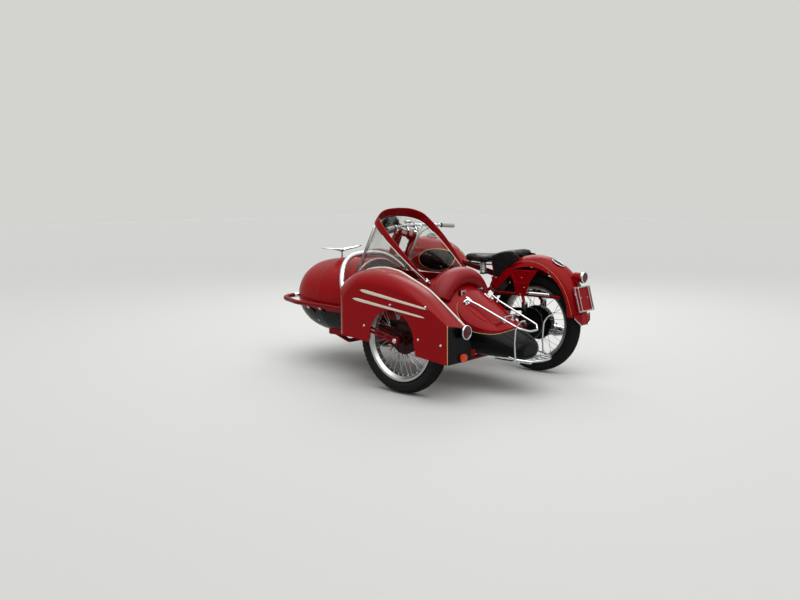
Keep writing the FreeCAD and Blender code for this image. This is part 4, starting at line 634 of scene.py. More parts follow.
# the head's nuts, and a sparking plug with its ribbed insulator and cap out of the head's left side
piece("head_nuts_and_plug", steel, [
    studs([(x, y, 668) for x in (692, 778) for y in (-34, 34)], UP, 6.5, 7.0),
    studs([(830, y, z) for y in (-40, 40) for z in (246, 284)], (1, 0, 0), 5.5),
    rod((742, 66, 646), (742, 92, 664), 10.5, 6), rod((742, 90, 662), (742, 122, 685), 6.5, 12)], False)
piece("carburettor_tops", cover_alloy, [
    lathe([(0.1, 0), (15, 0), (15, 4), (11, 6), (11, 30), (14, 33), (14, 38), (0.1, 38)], (622, 0, 640), "Z", 28),
    lathe([(0.1, -4), (20, -4), (20, 8), (16, 10), (16, 18), (0.1, 18)], (622, 36, 600), "Z", 28)])
piece("air_cleaner_gauze_rings", steel, [
    lathe([(0.1, 0), (40.5, 0), (40.5, 1.6), (0.1, 1.6)], (596 - index * 4, 0, 589.5), "X", 28)
    for index in range(9)], False)


# ---------------------------------------------------------------- exhaust and footrests
# One chromed pipe sweeps down the right-hand side into a cigar silencer with a fishtailed stub, held by
# clamps.  The footrests are steel bar with moulded rubber sleeves.
# Chromium plate that has been hot: the mirror goes warm and a little cloudy.
paint(surface("heat_blued_chromium_plate", None, "#B9B4B6", 0.14, wear=0.05, Metallic=1.0), "exhaust")
# Moulded black rubber with square ribs, worn a little grey on top.
foot_rubber = surface("moulded_footrest_rubber", "black_rubber", "#1A1A1A", 0.6, shade=0.2, patch=20.0, grain=0.2,
                      grain_size=2.5)
RIB_PITCH = 9
CLAMPS = ((38, 43.5, 14, 258, 40), (38, 43.5, 14, -60, 40), (20, 24, 18, 345, 32))
piece("silencer_clamps", chrome, [
    [lathe([(inner, 0), (outer, 0), (outer, wide), (inner, wide)], (x, -168, 262), "X", steps, True)
     for inner, outer, wide, x, steps in CLAMPS],
    studs([(265, -168, 306), (-53, -168, 306)], UP, 5.0)], False)
sleeves = []
for low, high in ((152, 233), (-258, -152)):
    steps = int((high - low) / RIB_PITCH)
    ribs = [(r, low + (high - low) * (i + o) / steps) for i in range(steps)
            for r, o in ((18.5, 0.0), (18.5, 0.55), (16.4, 0.62), (16.4, 0.93))]
    sleeves.append(lathe([(0.1, low)] + ribs + [(17.5, high), (0.1, high)], (520, 0, 219), "Y", 24))
piece("footrest_rubbers", foot_rubber, sleeves, False)


# ---------------------------------------------------------------- fuel tank
# A saddle tank pressed in two halves and seam-welded, in red enamel with a black glossy oval on each
# flank, outlined in gold.  The filler cap is chromed, with a milled edge.
TANK_OVAL = (793, 727, 136, 78)      # centre along and up, half length, half height
OVAL_LINE = 3.2
OVAL_TILT = 10.0
RIDGE_CLEAR, RIDGE_CURB = 0.05, 1.4      # metres from the ridge where the ovals' edge turns back, and how hard
CAP_SPOT, CAP_EDGE_R = (930, 890), 34.2
CAP_NOTCHES = 30

# Red enamel with a gold-edged black oval on each flank, drawn on the tank's own coordinates.
made, tree, place = material("red_enamel_with_black_flanks")
x, z, wide, high = TANK_OVAL
moved = add(tree, "VectorMath", {0: place, 1: tuple(at(x, 0, z))}, operation="SUBTRACT")
turned = add(tree, "Mapping", {"Vector": moved, "Rotation": (0.0, radians(OVAL_TILT), 0.0),
                                         "Scale": (1000 / wide, 0.0, 1000 / high)})
# the panels' outlines turn back before the ridge, so that the two never meet behind the saddle's nose
parts = add(tree, "SeparateXYZ", {0: moved})
flank = add(tree, "Math", {0: parts.outputs[1]}, operation="ABSOLUTE")
inward = add(tree, "MapRange", {0: flank, 1: RIDGE_CLEAR, 2: 0.0, 3: 0.0, 4: RIDGE_CURB})
across = add(tree, "CombineXYZ", {1: inward})
curbed = add(tree, "VectorMath", {0: turned, 1: across}, operation="ADD")
size = add(tree, "VectorMath", {0: curbed}, operation="LENGTH")
edge, inside = (add(tree, "Math", {0: size.outputs["Value"], 1: reach}, operation="LESS_THAN")
                for reach in (1.0 + OVAL_LINE / high, 1.0))
drift = add(tree, "TexNoise", {"Vector": place, "Scale": 6.0, "Detail": 4.0})
paint(shaded(made, drift, linear("#7A040C"), linear("#8C040E"), (0.3, 0.7, 0.2, 0.27),
             ((edge, linear(LINING_GOLD)), (inside, linear(ENAMEL_BLACK))), Specular_IOR_Level=ENAMEL_SHEEN),
      "fuel_tank")
paint(chrome, "fuel_cap")
x, z = CAP_SPOT
piece("filler_cap_milling", chrome, [stub((x + CAP_EDGE_R * cos(a), CAP_EDGE_R * sin(a), z), (0, 0, 12), 1.6, 6)
                                     for a in turns(CAP_NOTCHES)], False)


# ---------------------------------------------------------------- saddle and pillion pad
# A sprung single saddle of black hide over felt and wire, on two coil springs, and a felt-stuffed
# pillion pad bolted over the rear guard.  Both are blocked wet, so that they crown and pull in at the rim.
COIL_CENTRE, COIL_R, COIL_WIRE = (390, 85), 20.0, 3.2
COIL_LOW, COIL_TALL, COIL_TURNS, COIL_STEPS = 657, 66, 6, 24
CLOTH_FRAMES = 20
# Full-grain saddle hide, dyed black: pebbled, with a dull wax gloss that fills in where it is sat on.
black_hide = surface("black_saddle_hide", "black_leather", "#0E0E0F", 0.42, shade=0.3, patch=40.0, grain=0.5,
                     grain_size=3.5, wear=0.1, Specular_IOR_Level=0.2)


def stuffed(name, node, finish, voxel, cap, inset):
    """A cushion grown from its solid: remeshed, drawn in, blown out as cloth, and smoothed once."""
    bm = bmesh.new()
    bm.from_mesh(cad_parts[node].data)
    bmesh.ops.remove_doubles(bm, verts=bm.verts, dist=1e-5)
    bmesh.ops.recalc_face_normals(bm, faces=bm.faces)
    mesh = bpy.data.meshes.new(name)
    bm.to_mesh(mesh)
    bm.free()
    obj = linked(name, mesh)
    grid = obj.modifiers.new("grid", "REMESH")
    grid.mode = "VOXEL"
    grid.voxel_size = voxel / 1000
    mesh = evaluated_mesh(obj)
    bm = bmesh.new()
    bm.from_mesh(mesh)
    for _ in range(3):
        bmesh.ops.smooth_vert(bm, verts=bm.verts, factor=0.5, use_axis_x=True, use_axis_y=True, use_axis_z=True)
    bm.normal_update()
    for vert in bm.verts:
        vert.co -= vert.normal * inset / 1000
    bm.to_mesh(mesh)
    bm.free()
    before = [v.co.copy() for v in mesh.vertices]
    bag = linked(name + "_bag", mesh)
    cloth = bag.modifiers.new("cloth", "CLOTH")
    cloth.settings.effector_weights.gravity = 0.0
    cloth.settings.use_pressure = True
    cloth.settings.uniform_pressure_force = 4.0
    cloth.settings.quality = 5
    cloth.settings.mass = 0.3
    cloth.settings.tension_stiffness = cloth.settings.compression_stiffness = 25
    cloth.settings.bending_stiffness = 2.0
    cloth.point_cache.frame_start, cloth.point_cache.frame_end = 1, CLOTH_FRAMES
    for step in range(1, CLOTH_FRAMES + 1):
        bpy.context.scene.frame_set(step)
    mesh = evaluated_mesh(bag)
    bpy.context.scene.frame_set(1)
    for vert, start in zip(mesh.vertices, before):
        moved = vert.co - start
        if moved.length > cap / 1000:
            vert.co = start + moved.normalized() * cap / 1000
    made = dress(name, mesh, finish, replaced=(node,))
    smoother = made.modifiers.new("smoother", "SUBSURF")
    smoother.levels = smoother.render_levels = 1


stuffed("saddle_cover", "rider_saddle", black_hide, 5.0, 7.0, 5.0)
stuffed("pillion_cover", "pillion_pad", black_hide, 5.0, 8.0, 6.0)
# The coil springs: six turns of 6 mm wire under each rear corner, in dull chrome.
coils = []
for side in SIDES:
    x, y, steps = COIL_CENTRE[0], side * COIL_CENTRE[1], COIL_TURNS * COIL_STEPS
    line = [Vector((x + COIL_R * cos(2 * pi * i / COIL_STEPS), y + COIL_R * sin(2 * pi * i / COIL_STEPS),
                    COIL_LOW + COIL_TALL * i / steps)) for i in range(steps + 1)]
    coils.append(sweep(line, COIL_WIRE, 8, lambda spot: Vector((spot.x - x, spot.y - y, 0))))
piece("saddle_coil_springs", chrome, coils, slot="steel")
# Rivets across the saddle's rear edge, their heads worn bright.
piece("saddle_rivets", steel, studs([(344, side * y, 748) for side in SIDES for y in (60, 100, 20)], (-1, 0, 0), 3.5,
                                    1.0, 0.5), False)


# ---------------------------------------------------------------- rear guard, gussets and pillion bracket
# A deep pressed guard in red enamel, lined in gold near its edge, with two gussets down to the frame bar
# and hide skirts under the pillion pad.  Bolts and the rim of the oval cap on its crown are chromed.
paint(red_enamel, "rear_mudguard", "pillion_bracket", "tail_lamp_housing", "front_mudguard", "boot_lid",
      "sidecar_mudguard")
# Lining paint, a warm gold drawn on by brush.
gold_line = surface("gold_lining_paint", "red_paint", "#BFA272", 0.4, shade=0.15, patch=30.0, Specular_IOR_Level=0.2)
GUARD_Z, BEYOND_GUARD, BESIDE_GUARDS = 421, 460, 160      # its centre's height, and places well clear of it
GUARD_LIP_R, GUARD_LIP_Y, GUARD_LIP_SPAN, GUARD_LIP_BARS = 299.0, 99, (34.5, 182.5), 60
# a fine line along each shoulder of the crown: how far round the guard, and how far out from its middle
SHOULDER_LINE = [(52, 73), (67, 76), (85, 80), (96, 83), (112, 88), (129, 91), (142, 93), (156, 94), (167, 93),
                 (176, 90), (182, 86)]
GUSSET = [(142, 668), (75, 690), (-9, 682), (4, 618), (22, 603), (110, 603), (120, 618)]
SKIRT = [(297, 766), (279, 640), (238, 640), (212, 668), (186, 696), (158, 719), (130, 738), (98, 754), (66, 768),
         (88, 792), (150, 800), (230, 790)]
APRON = [(142, 657), (184, 624), (230, 579), (262, 552), (274, 549), (292, 585), (308, 630), (262, 648), (212, 676),
         (164, 704), (124, 712)]
CAP_RISE, CAP_HALVES = Vector((-176, 0, 326)), (46, 30)
guard_skin = skin("rear_mudguard")
for side, where in HANDS:
    spots = []
    for turn, out in drawn(SHOULDER_LINE, 5):
        way = Vector((cos(radians(turn)), 0, sin(radians(turn))))
        spots.append(laid(guard_skin, Vector((0, side * out, GUARD_Z)) + way * BEYOND_GUARD, -way))
    piece("rear_guard_line_" + where, gold_line, strip(spots, 0.8, 0.4, 1.0))
# raised trapezoid pressings on the gussets
piece("gusset_pressings", red_enamel, [
    strip([laid(guard_skin, (x, side * BESIDE_GUARDS, z), (0, -side, 0)) for x, z in drawn(GUSSET, 6, True)],
          3.6, 3.0, 1.5, True) for side in SIDES])
# stitched hide skirts that close the gap between the pad and the guard
piece("pillion_skirts", black_hide, [sheet([(x, side * 108.0, z) for x, z in SKIRT], side * 6.5) for side in SIDES],
      False, bevel=1.2)
# the guard's front ends, which run on down beside the frame, and a black rubber sheet between them that blocks the
# light from the far side: painted shade
piece("guard_front_aprons", red_enamel, [sheet([(x, side * 102.2, z) for x, z in APRON], side * 4.5) for side in SIDES],
      False, bevel=1.0)
piece("guard_shade_flap", foot_rubber,
      sheet([(302, -96, 632), (302, 96, 632), (270, 96, 500), (270, -96, 500)], 3.0), False)
piece("guard_and_bracket_bolts", chrome, [
    [studs([(66, side * 107, 527), (41, side * 100, 572), (262, side * 113, 628)], (0, side, 0)),
     studs([(60, side * 100, 640), (-150, side * 100, 690)], (0, side, 0), 4.5, 3.0)] for side in SIDES], False)
# a small oval inspection cap on the crown, black in a bright rim
spot, out = laid(guard_skin, Vector((0, 17, GUARD_Z)) + CAP_RISE * 1.4, -CAP_RISE)
flat = out.cross(Vector((0, 1, 0))).normalized()
oval = [spot + flat * CAP_HALVES[0] * cos(a) + Vector((0, CAP_HALVES[1] * sin(a), 0)) for a in turns(40)]
piece("guard_cap_rim", chrome, strip([(p, out) for p in oval], 2.6, 3.4, 2.0, True))
piece("guard_cap", black_enamel, ([[p + out * high for p in oval] for high in (1.6, -3)], False), False)
# rolled lower lip round the guard's edge
low, high = GUARD_LIP_SPAN
arc = [radians(low + (high - low) * step / GUARD_LIP_BARS) for step in range(GUARD_LIP_BARS + 1)]
piece("rear_guard_rolled_lip", red_enamel, [
    rods([(GUARD_LIP_R * cos(a), side * GUARD_LIP_Y, GUARD_Z + GUARD_LIP_R * sin(a)) for a in arc], 3.2, 6)
    for side in SIDES])


# ---------------------------------------------------------------- rear chain and its guard
# A roller chain of half-inch pitch under a pressed black guard.  The side plates are blued spring steel,
# stamped and riveted on hardened pins.
CHAIN_ENDS = ((0, 332, 97.5), (478, 340, 43.5))      # sprocket centres and the chain's radius on each
CHAIN_MIDDLE = 80.0
LINK_PLATE, LINK_OVERLAP = 4.3, 0.9
LINKS = 110
paint(black_enamel, "chain_guard", "headlamp_shell", "hull_shackles", "mudguard_back_panel")
# Blued spring steel under chain grease: dark, brownish, half shiny.
chain_steel = surface("greased_blued_steel", "steel", "#3B3937", 0.38, shade=0.3, patch=12.0, wear=0.1, Metallic=0.9)
paint(chain_steel, "drive_chain")
(rear_x, rear_z, rear_r), (gear_x, gear_z, gear_r) = CHAIN_ENDS
spread = acos((rear_r - gear_r) / hypot(gear_x - rear_x, gear_z - rear_z))
belt = [(gear_x + gear_r * cos(a), gear_z + gear_r * sin(a)) for a in (spread - 2 * spread * i / 24 for i in range(25))]
belt += [(rear_x + rear_r * cos(a), rear_z + rear_r * sin(a))
         for a in (-spread - (2 * pi - 2 * spread) * i / 36 for i in range(37))]
reach = [0.0]
for here, after in zip(belt, belt[1:] + belt[:1]):
    reach.append(reach[-1] + dist(here, after))
pins = []
for link in range(LINKS):
    goal = reach[-1] * link / LINKS
    index = max(i for i in range(len(belt)) if reach[i] <= goal)
    here, after = Vector(belt[index]), Vector(belt[(index + 1) % len(belt)])
    pins.append(here.lerp(after, (goal - reach[index]) / (reach[index + 1] - reach[index])))
plates = []
for link, (here, after) in enumerate(zip(pins, pins[1:] + pins[:1])):
    for side in SIDES:
        face = CHAIN_MIDDLE + side * (LINK_PLATE + LINK_OVERLAP * (link % 2))
        plates += [rod((x, face - side * 0.6, z), (x, face + side * 0.5, z), radius, sides)
                   for (x, z), radius, sides in ((here, 4.3, 10), (after, 4.3, 10), ((here + after) / 2, 3.5, 8))]
piece("chain_side_plates", chain_steel, plates, False)


# ---------------------------------------------------------------- tail lamp and number plate
# A turned lamp with a bright ring on a pressed red bracket.  The blank red plate leans back along the
# guard in a bright frame, with two upright bars clipped over its face.
TAIL_LAMP_SPOT = (-365, 0, 661)
PLATE_TOP, PLATE_LOW = Vector((-340, 0, 602)), Vector((-382, 0, 442))
PLATE_HALF, PLATE_FRAME, PLATE_BAND = 96.0, 8.0, 8.0 / 165
# the small sheet that fills each lower corner of the guard's tail, and the edge that is bound
TAIL_CORNER = [(-370, 42, 424), (-370, 43, 352), (-370, 62, 366), (-362, 88, 386), (-352, 99, 404), (-352, 98, 424)]
TAIL_EDGE = [(-352, 99, 404), (-362, 88, 386), (-370.5, 62, 366), (-370.5, 43, 352)]
# Moulded lamp plastic: deep red, clear-surfaced.
red_lens = surface("red_moulded_lens", "red_lens", "#4E0410", 0.12, shade=0.1, patch=10.0, Specular_IOR_Level=0.35)
paint(red_lens, "tail_lamp_lens")
piece("tail_lamp_ring", chrome, lathe([(28.9, 0), (30.5, -2.2), (34, -3), (37, -1.5), (38.2, 2), (38.2, 16),
                                       (35.3, 17.5), (35.2, 0)], TAIL_LAMP_SPOT, "X", 48, True))
# moulded rings and a boss inside the lens
piece("tail_lamp_lens_rings", red_lens, lathe(
    [(0.1, 2.5), (0.1, 0.4), (6, 0.2), (8, 1.2), (11, 0), (15, 0.9), (19, 0.3), (24, 1.4), (27.8, 2.6)],
    TAIL_LAMP_SPOT, "X", 40))
plate_run = (PLATE_LOW - PLATE_TOP).normalized()
plate_out = Vector((plate_run.z, 0, -plate_run.x))


def plate_at(across, share, proud):
    """A place on the leaning plate: sideways, a share of its height from the top, and proud of its back."""
    return PLATE_TOP.lerp(PLATE_LOW, share) + Vector((0, across, 0)) + plate_out * proud


def slab(y0, y1, share0, share1, low, high):
    """A flat bar lying on the plate."""
    return [[plate_at(y, share, proud) for share, proud in
             ((share0, low), (share0, high), (share1, high), (share1, low))] for y in (y0, y1)], False


piece("number_plate_face", red_enamel, slab(3 - PLATE_HALF, PLATE_HALF - 3, 0.02, 0.98, 0.0, 4.0), False,
      replaced=("number_plate",), bevel=0.8)
piece("number_plate_frame", chrome, [slab(y0, y1, s0, s1, -2.0, high) for y0, y1, s0, s1, high in (
    (-PLATE_HALF, PLATE_HALF, 0, PLATE_BAND, 8), (-PLATE_HALF, PLATE_HALF, 1 - PLATE_BAND, 1, 8),
    (-PLATE_HALF, PLATE_FRAME - PLATE_HALF, 0, 1, 7), (PLATE_HALF - PLATE_FRAME, PLATE_HALF, 0, 1, 7),
    (58, 66, 0, 1, 12), (-66, -58, 0, 1, 12))], False, bevel=1.2)
# across, share of the height, proud from and to, radius, sides and radius at the tip
piece("number_plate_screws", chrome, [
    rod(plate_at(side * y, share, low), plate_at(side * y, share, high), radius, sides, tip)
    for side in SIDES for y, share, low, high, radius, sides, tip in (
        (62, 0.06, 11, 15, 4.8, 14, 3.0), (62, 0.94, 11, 15, 4.8, 14, 3.0), (40, 0.45, 3, 7, 4.8, 14, 3.0),
        (40, 0.2, -16, 1, 7.0, 12, None))], False)
# the bright binding round the guard's tail, dipping under the flap
piece("guard_flap_binding", chrome, rods(TAIL_EDGE + [(x, -y, z) for x, y, z in reversed(TAIL_EDGE)], 3.2, 8), False)
piece("guard_tail_corners", red_enamel, [
    ([[(x + deep, side * y, z) for x, y, z in TAIL_CORNER] for deep in (0, 3)], False) for side in SIDES], False)


# ---------------------------------------------------------------- fork and front guard
# A telescopic fork in red shrouds with bright stanchion nuts and black gaiters, and a deep-skirted front
# guard in red enamel with a gold line near its edge.
RAKE = radians(26)
FRONT_AXLE = (1460, 332)
GAITER_FOLDS, GAITER_FOOT, FOLD_TALL, FOLD_IN, FOLD_OUT = 9, 306, 3.5, 29.3, 31.2
# centre along and up, radius, first and last degree of the sweep that lays the gold line, and its steps
FRONT_LINE = (1475, 356, 350, 2, 163, 48)


def fork_at(ahead, side, up):
    """A place in the fork's own leaning frame: ahead of the legs, sideways and up them."""
    return Vector((FRONT_AXLE[0] + ahead * cos(RAKE) - up * sin(RAKE), side,
                   FRONT_AXLE[1] + ahead * sin(RAKE) + up * cos(RAKE)))


piece("fork_crown_and_axle_nuts", chrome, [
    [[rod(fork_at(0, side * 96, low), fork_at(0, side * 96, high), radius, sides)
      for low, high, radius, sides in ((676, 684, 17, 20), (684, 692, 12, 6), (300, 306, 30.5, 20), (-36, -30, 22, 20))]
     + [rod(fork_at(0, side * 118, 0), fork_at(0, side * 141, 0), 12.5, 6)] for side in SIDES],
    rod(fork_at(-69, 0, 668), fork_at(-69, 0, 682), 19, 6),
    rod(fork_at(-69, 0, 680), fork_at(-69, 0, 692), 12, 16)], False, body="steering")
piece("fork_gaiters", cable_rubber, [
    spindle([fork_at(0, side * 96, GAITER_FOOT + i * FOLD_TALL) for i in range(2 * GAITER_FOLDS + 1)],
            [FOLD_OUT if i % 2 else FOLD_IN for i in range(2 * GAITER_FOLDS + 1)], 20) for side in SIDES],
      False, body="steering")
front_skin = skin("front_mudguard")
x, z, reach, low, high, steps = FRONT_LINE
for side, where in HANDS:
    spots = [laid(front_skin, (x + reach * cos(a), side * BESIDE_GUARDS, z + reach * sin(a)), (0, -side, 0))
             for a in (radians(low + (high - low) * step / steps) for step in range(steps + 1))]
    piece("front_guard_line_" + where, gold_line, strip(spots, 1.5, 0.5, 1.0), body="steering")


# ---------------------------------------------------------------- headlamp
# A spun bowl in black enamel with a deep chromed rim, a domed pressed glass with vertical flutes, and a
# small speedometer let into its top.
HEADLAMP = (1405, 0, 975)
DOME_R, DOME_BACK = 170, 150      # the glass's radius, and how far behind the lamp's face its centre lies
FLUTES, FLUTE_SPAN, FLUTE_REACH = 22, 64, 68
paint(chrome, "headlamp_rim", "handlebar", "hand_levers", "lid_hinges", "luggage_rails", "hoop", "nose_ornament",
      "rear_rack")


def clear(name, slot, tint, roughness, transmission):
    """Clear pressed glass or acrylic: light passes, the faces reflect, and wiping has hazed it in places."""
    made, tree, place = material(name, slot)
    haze = add(tree, "TexNoise", {"Vector": place, "Scale": 25.0, "Detail": 3.0})
    return shaded(made, haze, linear(tint), linear(tint), (0.0, 1.0, roughness, roughness + 0.04),
                  Transmission_Weight=transmission, IOR=1.49)


paint(clear("fluted_lamp_glass", None, "#EDF0F0", 0.06, 0.8), "headlamp_lens")
x, y, z = HEADLAMP
flutes = []
for index in range(FLUTES):
    across = FLUTE_SPAN * (2 * index / (FLUTES - 1) - 1)
    tall = sqrt(FLUTE_REACH ** 2 - across ** 2)
    line = [(x - DOME_BACK + sqrt(DOME_R ** 2 - across ** 2 - rise ** 2), y + across, z + rise)
            for rise in (tall * (step / 6 - 1) for step in range(13))]
    flutes += rods(line, 1.1, 5)
piece("headlamp_flutes", clear("pressed_glass_flutes", "lamp_glass", "#DFE4E4", 0.1, 0.6), flutes, body="steering")
piece("headlamp_bead", chrome, [
    lathe([(85.4, 0), (86.4, 3), (86.4, 9), (84.5, 13), (85.0, 8)], (x - 6, y, z), "X", 64, True),
    studs([(x + 1, 0, z + 86)], UP, 3.5, 3.0)], body="steering")


# ---------------------------------------------------------------- handlebar, grips and levers
# Chromed 22 mm bar with ball-ended levers.  The grips are ribbed rubber, a dusty pale grey, each closed
# by a black end cap.
BAR_ENDS = ((1036, 380, 952), (1085, 230, 962))
GRIP_RIBS, GRIP_RIB_PITCH = 15, 7.2
SPEEDOMETER = (1172, 0, 984)
grip_rubber = surface("pale_grey_grip_rubber", "grey_rubber", "#A7A49B", 0.55, patch=20.0, grain=0.2, grain_size=2.5)
paint(grip_rubber, "handlebar_grips")
ribs, caps, bolts = [], [], []
for side in SIDES:
    end, inner = (Vector((x, side * y, z)) for x, y, z in BAR_ENDS)
    run = (inner - end).normalized()
    ribs += [stub(end + run * (1 + GRIP_RIB_PITCH * rib), run * 4.2, 16.8, 20) for rib in range(GRIP_RIBS)]
    caps += [rod(end - run * 8.5, end - run * 2, 13.5, 20, 16.2), rod(end + run * 108, end + run * 113.5, 18.5, 24)]
    perch = end + run * 136
    bolts += [stub(perch + Vector((10, 0, -6)), (24, 0, 0), 4.5, 6),
              stub(perch + Vector((0, 0, 12)), (0, 0, 9), 5.5, 6), stub((1150, side * 46, 980), (0, 0, 8), 6.5, 6)]
for name, finish, shapes in (("grip_ribs", grip_rubber, ribs), ("grip_ends", cable_rubber, caps),
                             ("bar_clamp_and_perch_bolts", steel, bolts)):
    piece(name, finish, shapes, False, body="steering")
piece("speedometer_case", chrome, lathe([(0.1, 0), (24, 0), (29, 3), (31, 8), (31, 16), (28, 19), (24, 20), (0.1, 20)],
                                        SPEEDOMETER, "Z", 40), False, body="steering")
piece("speedometer_face", black_enamel, stub(Vector(SPEEDOMETER) + Vector((0, 0, 19.6)), UP, 23, 32), body="steering")


# ---------------------------------------------------------------- sidecar hull
# A hull of pressed steel, spun at the nose: red enamel above and black below, where the road throws up
# dirt.  Seams are lapped and spot-welded, and the cockpit's edge is bound in red beading.
HULL_LINE_Z = 397.0
HULL_Y, HULL_Z, HULL_R, ABOVE_HULL = 600, 480, 275, 900
NOSE_SEAM_X = 1080
COCKPIT = (265.0, 900.0, 200.0, 60.0)      # x of its ends, half its width and its corners' radius
BEAD_OUT, BEAD_STEP, BEAD_LOW = 4, 25, 500


def hull_finish(name):
    """Two enamels parted by a level edge, on the hull's own coordinates."""
    made, tree, place = material(name, "red_paint")
    parts = add(tree, "SeparateXYZ", {0: place})
    below = add(tree, "Math", {0: parts.outputs[2], 1: HULL_LINE_Z / 1000}, operation="LESS_THAN")
    drift = add(tree, "TexNoise", {"Vector": place, "Scale": 5.0, "Detail": 4.0})
    return shaded(made, drift, linear("#82050C"), linear("#970711"), (0.0, 1.0, 0.22, 0.32),
                  ((below, linear(ENAMEL_BLACK)),), Specular_IOR_Level=ENAMEL_SHEEN)


def over(surface_tree, x, y):
    """The place on a surface straight below a point, with the way out."""
    return laid(surface_tree, (x, y, ABOVE_HULL), (0, 0, -1))


paint(hull_finish("red_over_black_enamel"), "hull_shell")
hull_skin = skin("hull_shell")
# beading round the cockpit's edge, where it lies high enough to be seen
x_low, x_high, half, corner = COCKPIT
rim = []
for cx, side, start in ((x_high - corner, 1, 0), (x_low + corner, 1, 90), (x_low + corner, -1, 180),
                        (x_high - corner, -1, 270)):
    rim += [Vector((cx + (corner + BEAD_OUT) * cos(a), HULL_Y + side * (half - corner) + (corner + BEAD_OUT) * sin(a)))
            for a in (radians(start + 90 * step / 8) for step in range(9))]
dense = []
for here, after in zip(rim, rim[1:] + rim[:1]):
    count = max(1, int((after - here).length / BEAD_STEP))
    dense += [over(hull_skin, *here.lerp(after, i / count)) for i in range(count)]
piece("cockpit_edge_beading", red_enamel, strip([spot for spot in dense if spot[0].z > BEAD_LOW], 4.5, 4.5, 1.5, True))
# lap seam where the nose spinning meets the barrel
ways = [Vector((0, cos(a), sin(a))) for a in turns(96)]
piece("nose_lap_seam", hull_finish("seam_enamel"),
      strip([(Vector((NOSE_SEAM_X, HULL_Y, HULL_Z)) + way * HULL_R, way) for way in ways], 4.0, 0.9, 1.0, True))


# ---------------------------------------------------------------- boot lid, hinges and luggage rail
# A domed pressed lid in red enamel inside a gold lining, with a fold along each side, two plated hinges
# and a chromed luggage rail on turned feet.
LID_EDGE = [(85, 122), (77, 164), (45, 198), (0, 209), (-81, 195), (-166, 158), (-213, 116), (-236, 62), (-242, 0)]
LID_MIDDLE = Vector((-78, 600))
LINING_OUT = 3.2
FOLD = [(37, 146), (-20, 152), (-90, 146), (-150, 118), (-178, 84)]
STRAPS_Y, STRAP_FRONT, STRAP_STEP, STRAP_RIVETS = (505, 695), 66, 9, (58, 28)
RAIL_FEET = ((30, 132), (-189, 40))
lid_skin = skin("boot_lid")
half_edge = smooth_line(LID_EDGE)
outline = [Vector((p.x, HULL_Y + p.y)) for p in half_edge]
outline += [Vector((p.x, HULL_Y - p.y)) for p in reversed(half_edge[:-1])]
spots = []
for spot, along in zip(outline, headings(outline)):
    out = Vector((-along.y, along.x)) * LINING_OUT
    spots.append(over(hull_skin, *(spot + out if out.dot(spot - LID_MIDDLE) > 0 else spot - out)))
piece("lid_lining", gold_line, strip(spots, 1.7, 1.4, 1.0))
piece("lid_folds", red_enamel, [strip([over(lid_skin, p.x, HULL_Y + side * p.y) for p in smooth_line(FOLD)], 5.0, 2.2)
                                for side in SIDES], body="boot_lid_body")
straps = []
for y in STRAPS_Y:
    straps.append(strip([over(lid_skin, STRAP_FRONT - i * STRAP_STEP, y) for i in range(6)], 9.0, 3.4, 1.0))
    straps += [stub(spot, out * 5.5, 4.2, 12, 3.0) for spot, out in (over(lid_skin, x, y) for x in STRAP_RIVETS)]
piece("lid_hinge_straps", chrome, straps, body="boot_lid_body")
collars = []
for side in SIDES:
    for x, y in RAIL_FEET:
        spot, out = over(lid_skin, x, HULL_Y + side * y)
        collars += [rod(spot - out, spot + out * 3, 14, 24), rod(spot + out * 3, spot + out * 8, 10, 16, 8)]
piece("rail_foot_collars", chrome, collars, False, body="boot_lid_body")


# ---------------------------------------------------------------- sidecar interior
# Dark red leathercloth over wadding on a sprung squab, a padded roll behind the head, and a varnished
# ply floor and bulkhead.
red_hide = surface("red_leathercloth", "red_leather", "#82040F", 0.36, shade=0.16, patch=50.0, grain=0.3,
                   grain_size=2.5, Specular_IOR_Level=0.2)
for node in ("bulkhead", "cockpit_floor"):
    # varnished ply: brown, with a long drawn-out open grain on the board's own coordinates
    made, tree, place = material("varnished_ply_" + node)
    drawn_out = add(tree, "Mapping", {"Vector": place, "Scale": (4.0, 60.0, 60.0)})
    grain = add(tree, "TexNoise", {"Vector": drawn_out, "Scale": 3.0, "Detail": 6.0})
    paint(shaded(made, grain, linear("#3F2615"), linear("#7A5230"), (0.0, 1.0, 0.36, 0.5)), node)
stuffed("seat_cushion_cover", "seat_cushion", red_hide, 6.0, 9.0, 6.0)
stuffed("seat_back_cover", "seat_back", red_hide, 6.0, 9.0, 6.0)
stuffed("backrest_roll_cover", "backrest_roll", red_hide, 5.0, 8.0, 4.0)


# ---------------------------------------------------------------- windscreen
# Clear acrylic in a leaning arch of red enamelled steel, hinged on plated knobs.  Pale alloy pillars and a
# bright sill trim hold the sheet, and white piping covers the edge of the arch.
SCREEN_FOOT = (289.0, HULL_Y, HULL_Z + sqrt(HULL_R ** 2 - 214.0 ** 2) + 7.4)
SCREEN_LEAN = radians(50.2)
ARCH = [(214, 0), (243, 150), (261.6, 330), (260, 440), (240.8, 548), (190, 590), (110, 615), (0, 623)]
ARCH_MIDDLE = Vector((0, 280))
BAND_WIDTHS = [(-10, 10), (60, 16), (150, 27), (250, 38), (350, 45), (450, 50), (548, 56), (590, 66), (630, 75)]
